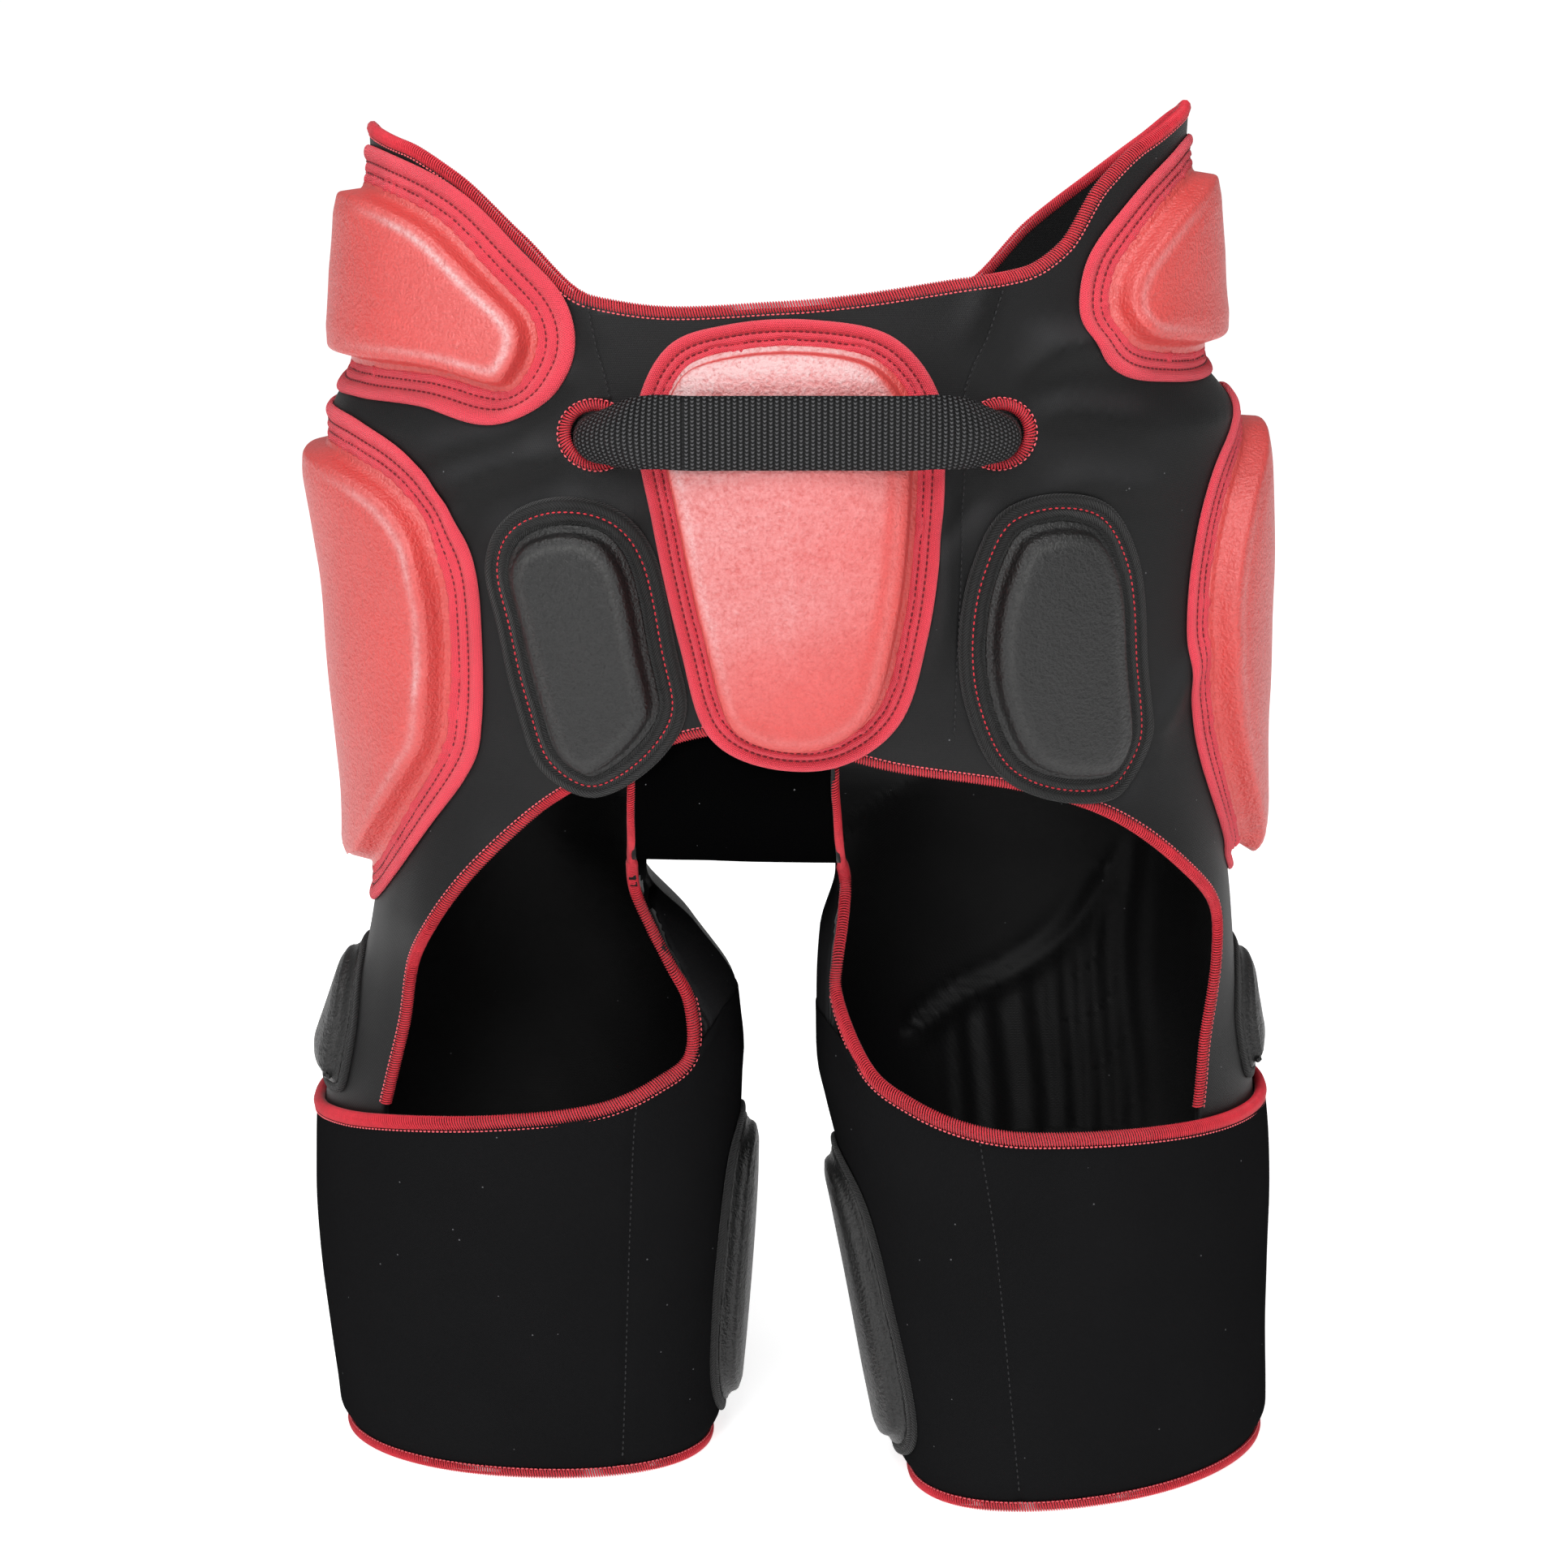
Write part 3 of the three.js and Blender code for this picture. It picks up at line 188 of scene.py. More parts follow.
def studio():
    lens = bpy.data.cameras.new("camera")
    lens.sensor_width = 36
    lens.lens = 105.58
    lens.clip_end = 50
    camera = bpy.data.objects.new("camera", lens)
    spot = PLACE + [0, -EYE * math.cos(LOOK_DOWN), AIM + EYE * math.sin(LOOK_DOWN)]
    camera.location = Vector(spot * METRE)
    camera.rotation_euler = (math.radians(90) - LOOK_DOWN, 0, 0)
    bpy.context.scene.collection.objects.link(camera)
    bpy.context.scene.camera = camera

    def glow(name, colour, strength, diffuse):
        made = bpy.data.materials.new(name)
        made.use_nodes = True
        shade = made.node_tree.nodes["Principled BSDF"]
        shade.inputs["Base Color"].default_value = (diffuse, diffuse, diffuse, 1)
        shade.inputs["Roughness"].default_value = 0.95
        shade.inputs["Specular IOR Level"].default_value = 0.0
        shade.inputs["Emission Color"].default_value = (*colour, 1)
        shade.inputs["Emission Strength"].default_value = strength
        return made

    def staged(name, points, faces, material):
        mesh = bpy.data.meshes.new(name)
        mesh.from_pydata(points, [], faces)
        mesh.materials.append(material)
        thing = bpy.data.objects.new(name, mesh)
        bpy.context.scene.collection.objects.link(thing)
        return thing

    staged("floor", [(-9, -9, 0), (9, -9, 0), (9, 9, 0), (-9, 9, 0)], [(0, 1, 2, 3)],
           glow("pale_paper", (1, 1, 1), 0.75, 0.9))
    turns = [(9 * math.cos(a), 9 * math.sin(a)) for a in np.linspace(0, 2 * math.pi, 48, endpoint=False)]
    round_points = [(x, y, z) for z in (-0.01, 6) for x, y in turns]
    wall_faces = [(i, (i + 1) % 48, 48 + (i + 1) % 48, 48 + i) for i in range(48)]
    backdrop = staged("white_backdrop", round_points, wall_faces,
                      glow("backdrop_paper", (1, 1, 1), 1.02, 0.0))
    backdrop.visible_diffuse = False
    backdrop.visible_glossy = False
    backdrop.visible_shadow = False

    world = bpy.data.worlds.new("studio")
    world.use_nodes = True
    world.node_tree.nodes["Background"].inputs["Color"].default_value = (1, 1, 1, 1)
    world.node_tree.nodes["Background"].inputs["Strength"].default_value = 0.32
    bpy.context.scene.world = world

    def softbox(name, place, aim, width, height, power):
        light = bpy.data.lights.new(name, "AREA")
        light.shape = "RECTANGLE"
        light.size = width
        light.size_y = height
        light.energy = power
        lamp = bpy.data.objects.new(name, light)
        lamp.location = place
        lamp.rotation_euler = (Vector(aim) - Vector(place)).to_track_quat("-Z", "Y").to_euler()
        bpy.context.scene.collection.objects.link(lamp)

    softbox("front_light", (-0.35, -2.0, 1.5), (0, 0, 0.35), 0.9, 0.7, 25)
    softbox("top_light", (-0.1, -0.8, 2.0), (0, 0, 0.4), 1.2, 0.7, 23)
    softbox("left_light", (-1.9, -0.3, 0.9), (0, 0, 0.35), 0.5, 1.4, 2.4)
    softbox("right_light", (1.9, -0.5, 0.9), (0, 0, 0.35), 0.5, 1.4, 2.2)
    bpy.context.scene.view_settings.view_transform = "Standard"


# The forms that everything is sewn to

def read(table, column, at):
    """Smooth value of a table's column; harmonic tangents keep a rise a rise and a dip a dip."""
    x, y = table[:, 0], table[:, column]
    slope = np.diff(y) / np.diff(x)
    product = slope[:-1] * slope[1:]
    both = np.where(product > 0, slope[:-1] + slope[1:], 1)
    tangent = np.concatenate([slope[:1], np.where(product > 0, 2 * product / both, 0), slope[-1:]])
    at = np.clip(at, x[0], x[-1])
    i = np.clip(np.searchsorted(x, at, side="right") - 1, 0, len(x) - 2)
    width = x[i + 1] - x[i]
    t = (at - x[i]) / width
    low = y[i] * (1 + 2 * t) * (1 - t) ** 2 + width * tangent[i] * t * (1 - t) ** 2
    return low + y[i + 1] * t * t * (3 - 2 * t) + width * tangent[i + 1] * t * t * (t - 1)


def read_round(table, angle):
    """The level of an edge that closes on itself after a full turn."""
    table = table[np.argsort(table[:, 0])]
    three = np.concatenate([table + [turn, 0] for turn in (-360, 0, 360)])
    return read(three, 1, (np.asarray(angle, float) + 180) % 360 - 180)


def bow(value, roundness):
    return np.sign(value) * np.abs(value) ** (2 / roundness)


def smooth_step(value, low, high):
    t = np.clip((value - low) / (high - low), 0, 1)
    return t * t * (3 - 2 * t)


def hip_sizes(x, y, z):
    level = z / HEIGHT
    width = np.where(x < 0, read(HIPS, 1, level), read(HIPS, 2, level)) * HALF_WIDTH
    depth = np.where(y < 0, read(HIPS, 3, level), read(HIPS, 4, level)) * HALF_DEPTH
    return width, depth


def hip_reach(p):
    """How far out of the hips a point lies, 1 being on them."""
    x, y, z = np.moveaxis(p, -1, 0)
    width, depth = hip_sizes(x, y, z)
    under = np.maximum(0, HIP_FLOOR - z) / 9
    total = np.abs(x / width) ** HIP_ROUNDNESS + np.abs(y / depth) ** HIP_ROUNDNESS + under ** 2
    return total ** (1 / HIP_ROUNDNESS)


def thigh_sizes(table, turn, z):
    level = z / HEIGHT
    outer, inner = read(table, 1, level) * HALF_WIDTH, read(table, 2, level) * HALF_WIDTH
    front, back = -read(table, 3, level) * HALF_DEPTH, read(table, 4, level) * HALF_DEPTH
    shear = np.tan(np.radians(turn * np.maximum(0, 1 - level / HIPS[0, 0])))
    return (outer + inner) / 2, (front + back) / 2, np.abs(outer - inner) / 2, (back - front) / 2, shear


def thigh_reach(table, turn, p):
    x, y, z = np.moveaxis(p, -1, 0)
    cx, cy, half_width, half_depth, shear = thigh_sizes(table, turn, z)
    across = np.abs(x - cx) / half_width
    along = np.abs(y - cy - (x - cx) * shear) / half_depth
    over = np.maximum(0, z - 325) / 40
    return (across ** THIGH_ROUNDNESS + along ** THIGH_ROUNDNESS + over ** 2) ** (1 / THIGH_ROUNDNESS)


def body_reach(p):
    """Hips and thighs as one form with soft creases between them."""
    reaches = [hip_reach(p), thigh_reach(LEFT_THIGH, LEFT_TURN, p), thigh_reach(RIGHT_THIGH, RIGHT_TURN, p)]
    return sum(np.maximum(reach, 0.05) ** -CREASE for reach in reaches) ** (-1 / CREASE)


def slope_of(field, p, step=0.5):
    ways = np.eye(3) * step
    return np.stack([(field(p + way) - field(p - way)) / (2 * step) for way in ways], -1)


def unit(v):
    return v / np.maximum(np.linalg.norm(v, axis=-1, keepdims=True), 1e-9)


def settle(p, rounds=4):
    """Points moved onto the body's surface."""
    for _ in range(rounds):
        slope = slope_of(body_reach, p)
        gap = (body_reach(p) - 1)[..., None]
        move = -gap * slope / np.maximum((slope ** 2).sum(-1, keepdims=True), 1e-9)
        size = np.linalg.norm(move, axis=-1, keepdims=True)
        p = p + move * np.minimum(1, 6 / np.maximum(size, 1e-9))
    return p


def first_hit(start, way, length, steps=90):
    """Where rays from outside first meet the body."""
    t = np.linspace(0, length, steps)
    inside = body_reach(start[..., None, :] + way[..., None, :] * t[:, None]) < 1
    i = np.clip(np.argmax(inside, axis=-1), 1, None)
    low, high = t[i - 1], t[i]
    for _ in range(14):
        middle = (low + high) / 2
        within = body_reach(start + way * middle[..., None]) < 1
        low, high = np.where(within, low, middle), np.where(within, middle, high)
    return start + way * low[..., None]


def hip_plan(angle, z):
    sine, cosine = np.sin(np.radians(angle)), np.cos(np.radians(angle))
    width, depth = hip_sizes(sine, -cosine, z)
    return width * bow(sine, HIP_ROUNDNESS), -depth * bow(cosine, HIP_ROUNDNESS)


def side_point(u, z):
    """Point of the body on the ray of a side pad's place, u being millimetres round the hips."""
    angle = u / HIP_RADIUS * 180 / math.pi
    x, y = hip_plan(angle, np.maximum(z, HIPS[3, 0] * HEIGHT))
    way = unit(np.stack([x, y, np.zeros_like(x)], -1))
    start = way * 300
    start[..., 2] = z
    return first_hit(start, -way, 300)


def front_point(x, z):
    start = np.stack([x, np.full_like(x, -170.0), z], -1)
    return first_hit(start, np.broadcast_to(np.array([0.0, 1.0, 0.0]), start.shape), 170)


def thigh_point(table, turn, skin):
    def place(u, z):
        angle = np.radians(u / HIP_RADIUS * 180 / math.pi)
        cx, cy, half_width, half_depth, shear = thigh_sizes(table, turn, z)
        across = half_width * bow(np.sin(angle), THIGH_ROUNDNESS)
        along = -half_depth * bow(np.cos(angle), THIGH_ROUNDNESS)
        p = np.stack([cx + across, cy + along + across * shear, z + 0 * u], -1)
        return p + unit(slope_of(lambda q: thigh_reach(table, turn, q), p)) * skin
    return place


# Folds of the knit, by their two ends in the front view: x, z, x, z, width, height
FOLDS = np.array([
    [-146, 448, -92, 468, 6.5, 3.4],
    [-150, 462, -105, 476, 6.0, 2.4],
    [-120, 428, -84, 444, 6.5, 2.4],
    [-92, 446, -58, 438, 6.0, 2.8],
    [-112, 476, -88, 500, 6.0, 2.2],
    [60, 428, 82, 452, 6.0, -2.6],
    [66, 470, 66, 380, 5.0, 3.0],
    [96, 500, 150, 515, 7.0, 3.0],
    [100, 514, 148, 498, 6.0, 2.2],
    [104, 484, 150, 476, 6.5, 2.2],
    [110, 455, 160, 446, 7.0, 2.4],
    [150, 330, 175, 380, 6.0, 2.8],
    [140, 318, 158, 345, 5.5, -2.0],
    [-150, 400, -128, 450, 7.0, 2.0],
    [-158, 330, -140, 372, 6.5, 1.6],
    [-96, 560, -76, 512, 6.0, 1.6],
    [88, 560, 76, 512, 6.0, 1.6],
])
FOLD_BOW = 0.12
# slack of the cloth inside the right leg: x, z along the fold under its seam
INSIDE_FOLD = np.array([[60, 176], [78, 186], [104, 196], [126, 212], [144, 238]])


def ripple(p, size, seed):
    """Gentle unevenness of hand-sewn cloth, about one high."""
    chance = np.random.default_rng(seed)
    total = 0
    for _ in range(7):
        way = unit(chance.normal(size=3))
        waves = 2 * math.pi / size * chance.uniform(0.6, 1.5)
        total = total + np.sin(p @ way * waves + chance.uniform(0, 6.3))
    return total / 3.5


def fold_height(p):
    x, y, z = np.moveaxis(p, -1, 0)
    height = 0.45 * ripple(p, 90, 3) + 0.2 * ripple(p, 34, 5)
    front = smooth_step(-y, 5, 40)
    for x0, z0, x1, z1, width, size in FOLDS:
        run = np.array([x1 - x0, z1 - z0])
        t = ((x - x0) * run[0] + (z - z0) * run[1]) / (run @ run)
        length = np.linalg.norm(run)
        across = ((x - x0) * -run[1] + (z - z0) * run[0]) / length + FOLD_BOW * length * (t - 0.5) ** 2
        ends = smooth_step(t, -0.15, 0.25) * smooth_step(1 - t, -0.15, 0.25)
        height = height + front * size * ends * np.exp(-(across / width) ** 2)
    return height


def on_body(base, lift):
    """Base points lifted off the folded cloth along its normal."""
    normal = unit(slope_of(body_reach, base, 1.0))
    return base + normal * (fold_height(base) + lift)[..., None], normal


# Meshes

def mesh_from(name, points, faces, corner_uv=None):
    """Object from points in millimetres and equal-sided faces."""
    mesh = bpy.data.meshes.new(name)
    points = (np.asarray(points, float).reshape(-1, 3) + PLACE) * METRE
    faces = np.asarray(faces, np.int32)
    sides = faces.shape[1]
    mesh.vertices.add(len(points))
    mesh.vertices.foreach_set("co", points.astype(np.float32).ravel())
    mesh.loops.add(faces.size)
    mesh.loops.foreach_set("vertex_index", faces.ravel())
    mesh.polygons.add(len(faces))
    mesh.polygons.foreach_set("loop_start", np.arange(0, faces.size, sides, dtype=np.int32))
    mesh.update(calc_edges=True)
    mesh.polygons.foreach_set("use_smooth", np.ones(len(faces), bool))
    if corner_uv is not None:
        layer = mesh.uv_layers.new(name="cloth")
        layer.data.foreach_set("uv", (np.asarray(corner_uv, float) * METRE).astype(np.float32).ravel())
    mesh.validate()
    piece = bpy.data.objects.new(name, mesh)
    bpy.context.scene.collection.objects.link(piece)
    return piece


def mark(piece, name, values):
    """A number for every point of a mesh, read by its finish."""
    made = piece.data.attributes.new(name, "FLOAT", "POINT")
    made.data.foreach_set("value", values.astype(np.float32))


def grid_piece(name, grid, close_rows=False, close_columns=False):
    """Mesh from rows of points; its UV map runs along the columns and the rows in their real lengths."""
    rows, columns = grid.shape[:2]
    r = np.arange(rows if close_rows else rows - 1)
    c = np.arange(columns if close_columns else columns - 1)
    r, c = [a.ravel() for a in np.meshgrid(r, c, indexing="ij")]
    corners = [(r, c), (r, c + 1), (r + 1, c + 1), (r + 1, c)]
    faces = np.stack([(a % rows) * columns + b % columns for a, b in corners], -1)
    around = np.concatenate([grid, grid[:, :1]], 1)
    across = np.concatenate([grid, grid[:1]], 0)
    u = np.concatenate([[0], np.cumsum(np.linalg.norm(np.diff(around, axis=1), axis=2).mean(0))])
    v = np.concatenate([[0], np.cumsum(np.linalg.norm(np.diff(across, axis=0), axis=2).mean(1))])
    uv = np.stack([np.stack([u[b], v[a]], -1) for a, b in corners], 1)
    return mesh_from(name, grid, faces, uv)


# Knit shell: a net of even cells drawn onto the body, cut along its edges and given a wall

def cell_net(low, high, step):
    axes = [np.arange(low[i], high[i] + step, step) for i in range(3)]
    corner = np.stack(np.meshgrid(*axes, indexing="ij"), -1)
    inside = body_reach(corner) < 1
    a, b, c = np.array(inside.shape) - 1
    cells = sum(inside[i:a + i, j:b + j, k:c + k].astype(int)
                for i in (0, 1) for j in (0, 1) for k in (0, 1))
    mixed = (cells > 0) & (cells < 8)
    number = np.full(mixed.shape, -1)
    number[mixed] = np.arange(mixed.sum())
    points = corner[:-1, :-1, :-1][mixed] + step / 2
    faces = []
    for axis in range(3):
        first, second = [a for a in range(3) if a != axis]
        a = np.moveaxis(inside, (axis, first, second), (0, 1, 2))
        n = np.moveaxis(number, (axis, first, second), (0, 1, 2))
        change = a[:-1, 1:-1, 1:-1] != a[1:, 1:-1, 1:-1]
        i, j, k = np.nonzero(change)
        quad = np.stack([n[i, j, k], n[i, j + 1, k], n[i, j + 1, k + 1], n[i, j, k + 1]], -1)
        flip = a[i, j + 1, k + 1] ^ (axis == 1)
        quad[~flip] = quad[~flip][:, ::-1]
        faces.append(quad)
    faces = np.concatenate(faces)
    faces = faces[(faces >= 0).all(1)]
    edges = np.concatenate([faces[:, [i, (i + 1) % 4]] for i in range(4)])
    for _ in range(3):
        total, count = np.zeros_like(points), np.zeros(len(points))
        for a, b in ((0, 1), (1, 0)):
            np.add.at(total, edges[:, a], points[edges[:, b]])
            np.add.at(count, edges[:, a], 1)
        keep = count > 0
        points[keep] = (points[keep] + total[keep] / count[keep, None]) / 2
        points = settle(points, 2)
    return points, np.concatenate([faces[:, [0, 1, 2]], faces[:, [0, 2, 3]]])


def snap(points, triangles, value, step):
    """Corners near a cut moved onto it, so that the cut leaves no slivers."""
    slope = np.zeros_like(points)
    weight = np.zeros(len(points))
    for a, b in ((0, 1), (1, 2), (2, 0), (1, 0), (2, 1), (0, 2)):
        i, j = triangles[:, a], triangles[:, b]
        run = points[j] - points[i]
        length = np.maximum((run ** 2).sum(1), 1e-9)
        np.add.at(slope, i, run * ((value[j] - value[i]) / length)[:, None])
        np.add.at(weight, i, 1)
    slope = 2 * slope / np.maximum(weight, 1)[:, None]
    near = np.abs(value) < 0.3 * step
    move = -value[:, None] * slope / np.maximum((slope ** 2).sum(1, keepdims=True), 0.25)
    points = points.copy()
    points[near] = settle(points[near] + move[near], 1)
    value = value.copy()
    value[near] = 0
    return points, value


def cut(points, triangles, field, step):
    """The part of a mesh where the field is above zero, its edge lying on the zero line."""
    points, value = snap(points, triangles, field(points), step)
    sign = np.sign(value).astype(int)
    corner = sign[triangles]
    whole = triangles[(corner >= 0).all(1) & (corner > 0).any(1)]
    crossed = triangles[(corner > 0).any(1) & (corner < 0).any(1)]
    above = sign[crossed] >= 0
    alone = above.sum(1) == 1
    odd = np.where(alone, np.argmax(above, 1), np.argmin(above, 1))
    rolled = crossed[np.arange(len(crossed))[:, None], (odd[:, None] + np.arange(3)) % 3]
    pairs = np.sort(np.concatenate([rolled[:, [0, 1]], rolled[:, [0, 2]]]), 1)
    unique, where = np.unique(pairs, axis=0, return_inverse=True)
    where = where.ravel()
    a, b = unique.T
    t = value[a] / np.where(value[a] == value[b], 1, value[a] - value[b])
    fresh = settle(points[a] + (points[b] - points[a]) * t[:, None], 1)
    index = np.arange(len(unique)) + len(points)
    index = np.where(value[a] == 0, a, np.where(value[b] == 0, b, index))[where]
    first, second = index[:len(rolled)], index[len(rolled):]
    o, p, q = rolled.T
    tips = np.stack([o, first, second], -1)[alone]
    rest = np.concatenate([np.stack([first, p, q], -1)[~alone], np.stack([first, q, second], -1)[~alone]])
    triangles = np.concatenate([whole, tips, rest])
    triangles = triangles[(triangles != np.roll(triangles, 1, 1)).all(1)]
    points = np.concatenate([points, fresh])
    used, triangles = np.unique(triangles, return_inverse=True)
    return points[used], triangles.reshape(-1, 3)


def beside(line, x, z):
    """Distance to the left of a line in the front view, seen along it."""
    a, b = line[:-1], line[1:]
    run = b - a
    dx, dz = x[:, None] - a[:, 0], z[:, None] - a[:, 1]
    t = np.clip((dx * run[:, 0] + dz * run[:, 1]) / (run ** 2).sum(1), 0, 1)
    gap = (dx - t * run[:, 0]) ** 2 + (dz - t * run[:, 1]) ** 2
    i = np.argmin(gap, 1)
    n = np.arange(len(x))
    side = np.sign(run[i, 0] * dz[n, i] - run[i, 1] * dx[n, i])
    return side * np.sqrt(gap[n, i])


def curve_through(points, count, closed=False):
    """Evenly spaced points of a smooth curve through the given ones."""
    points = np.asarray(points, float)
    if closed:
        ring = np.concatenate([points[-1:], points, points[:2]])
    else:
        ring = np.concatenate([2 * points[:1] - points[1:2], points, 2 * points[-1:] - points[-2:-1]])
    made = []
    for p0, p1, p2, p3 in zip(ring[:-3], ring[1:-2], ring[2:-1], ring[3:]):
        k = [0.0]
        for a, b in ((p0, p1), (p1, p2), (p2, p3)):
            k.append(k[-1] + max(np.linalg.norm(b - a), 1e-6) ** 0.5)
        t = np.linspace(k[1], k[2], 24, endpoint=False)[:, None]
        a1 = (k[1] - t) / (k[1] - k[0]) * p0 + (t - k[0]) / (k[1] - k[0]) * p1
        a2 = (k[2] - t) / (k[2] - k[1]) * p1 + (t - k[1]) / (k[2] - k[1]) * p2
        a3 = (k[3] - t) / (k[3] - k[2]) * p2 + (t - k[2]) / (k[3] - k[2]) * p3
        b1 = (k[2] - t) / (k[2] - k[0]) * a1 + (t - k[0]) / (k[2] - k[0]) * a2
        b2 = (k[3] - t) / (k[3] - k[1]) * a2 + (t - k[1]) / (k[3] - k[1]) * a3
        made.append((k[2] - t) / (k[2] - k[1]) * b1 + (t - k[1]) / (k[2] - k[1]) * b2)
    dense = np.concatenate(made + [points[:1] if closed else points[-1:]])
    return even(dense, count + 1)[:-1] if closed else even(dense, count)


def even(line, count):
    """A polyline's points spread evenly along it."""
    length = np.concatenate([[0], np.cumsum(np.linalg.norm(np.diff(line, axis=0), axis=1))])
    at = np.linspace(0, length[-1], count)
    return np.stack([np.interp(at, length, line[:, i]) for i in range(line.shape[1])], -1)


def length_of(line):
    return np.linalg.norm(np.diff(line, axis=0), axis=1).sum()


IN_FRONT = np.array([HALF_WIDTH, HEIGHT])
panel_line = curve_through(PANEL_EDGE * IN_FRONT, 120)
left_line = curve_through(LEFT_INNER_EDGE * IN_FRONT, 40)
right_line = curve_through(RIGHT_INNER_EDGE * IN_FRONT, 40)


def with_tails(line, start, end):
    return np.concatenate([[line[0] + start], line, [line[-1] + end]])


long_panel = with_tails(panel_line, np.array([-1, -300]), np.array([1, -300]))
long_left = with_tails(left_line, np.array([0, -300]), np.array([0, 100]))
long_right = with_tails(right_line, np.array([0, -300]), np.array([0, 100]))


def below_waist(p):
    x, y, z = p.T
    width, depth = hip_sizes(x, y, z)
    angle = np.degrees(np.arctan2(np.sign(x) * np.abs(x / width) ** (HIP_ROUNDNESS / 2),
                                  np.sign(-y) * np.abs(y / depth) ** (HIP_ROUNDNESS / 2)))
    return read_round(WAIST_EDGE, angle) * HEIGHT - z


def under_panel(p):
    return -beside(long_panel, p[:, 0], p[:, 2])


def left_of_gusset(p):
    return beside(long_left, p[:, 0], p[:, 2])


def right_of_gusset(p):
    return -beside(long_right, p[:, 0], p[:, 2])


def off_slots(p):
    x, y, z = p.T
    rooms = [np.hypot((x - place) / SLOT_HALF_WIDTH, (z - SLOT_LEVEL) / SLOT_HALF_HEIGHT)
             for place in (SLOT_LEFT, SLOT_RIGHT)]
    away = (np.minimum(*rooms) - 1) * SLOT_HALF_HEIGHT
    return np.where(y < 0, away, 50)


def off_openings(p):
    front = SEAM_DEPTH - p[:, 1]
    left = np.minimum(np.minimum(under_panel(p), left_of_gusset(p)), front)
    right = np.minimum(np.minimum(under_panel(p), right_of_gusset(p)), front)
    return -np.maximum(left, right)


def in_gusset(p):
    inner = np.minimum(-left_of_gusset(p), -right_of_gusset(p)) - GUSSET_SEAM
    return np.minimum(np.minimum(inner, under_panel(p)), SEAM_DEPTH - p[:, 1])


def inside_slack(points):
    """How far the cloth bags inwards at the back of the right leg: a fold along a seam, wrinkles under it."""
    x, y, z = points.T
    away = beside(curve_through(INSIDE_FOLD, 40), x, z)
    fold = 4.0 * np.exp(-((away + 4.5) / 4.5) ** 2) - 1.6 * np.exp(-((away - 3) / 3.5) ** 2)
    under = smooth_step(-away, 6, 16) * smooth_step(x, 66, 84) * smooth_step(-x, -176, -160)
    wrinkles = 1.3 * np.sin(x * 2 * math.pi / 15 + 1.2 * np.sin(z / 26) + 0.9 * np.sin(x / 11))
    return (fold + wrinkles * under) * smooth_step(y, 5, 25)


def walled(name, points, triangles, lift, wall, slack=0.0):
    """A cloth of real thickness from its outer face, closed along its edges."""
    outer, normal = on_body(points, lift)
    inner = outer - normal * (wall + np.broadcast_to(slack, len(points)))[:, None]
    edges = np.concatenate([triangles[:, [0, 1]], triangles[:, [1, 2]], triangles[:, [2, 0]]])
    order = np.sort(edges, 1)
    _, first, count = np.unique(order, axis=0, return_index=True, return_counts=True)
    rim = edges[first[count == 1]]
    size = len(points)
    sides = np.concatenate([np.stack([rim[:, 1], rim[:, 0], rim[:, 0] + size], -1),
                            np.stack([rim[:, 1], rim[:, 0] + size, rim[:, 1] + size], -1)])
    faces = np.concatenate([triangles, triangles[:, ::-1] + size, sides])
    x, y, z = points.T
    round_hips = np.degrees(np.arctan2(x, -y)) / 57.3 * 150
    uv = np.stack([round_hips, z], -1)
    uv = np.concatenate([uv, uv])[faces]
    wrap = (uv[..., 0].max(1) - uv[..., 0].min(1)) > 400
    uv[wrap, :, 0] = np.where(uv[wrap, :, 0] < 0, uv[wrap, :, 0] + 942, uv[wrap, :, 0])
    return mesh_from(name, np.concatenate([outer, inner]), faces, uv)


# Finishes

def node(tree, kind, inputs=None, **settings):
    made = tree.nodes.new(kind)
    for key, value in settings.items():
        setattr(made, key, value)
    for key, value in (inputs or {}).items():
        if isinstance(value, bpy.types.NodeSocket):
            tree.links.new(value, made.inputs[key])
        else:
            made.inputs[key].default_value = value
    return made


def math_node(tree, operation, first, second=0.0, third=0.0):
    return node(tree, "ShaderNodeMath", {0: first, 1: second, 2: third}, operation=operation).outputs[0]


def shader_group(name, inputs, outputs):
    tree = bpy.data.node_groups.new(name, "ShaderNodeTree")
    for key, (kind, value) in inputs.items():
        socket = tree.interface.new_socket(key, in_out="INPUT", socket_type="NodeSocket" + kind)
        if value is not None:
            socket.default_value = value
    for key in outputs:
        tree.interface.new_socket(key, in_out="OUTPUT", socket_type="NodeSocketFloat")
    return tree, tree.nodes.new("NodeGroupInput").outputs, tree.nodes.new("NodeGroupOutput").inputs


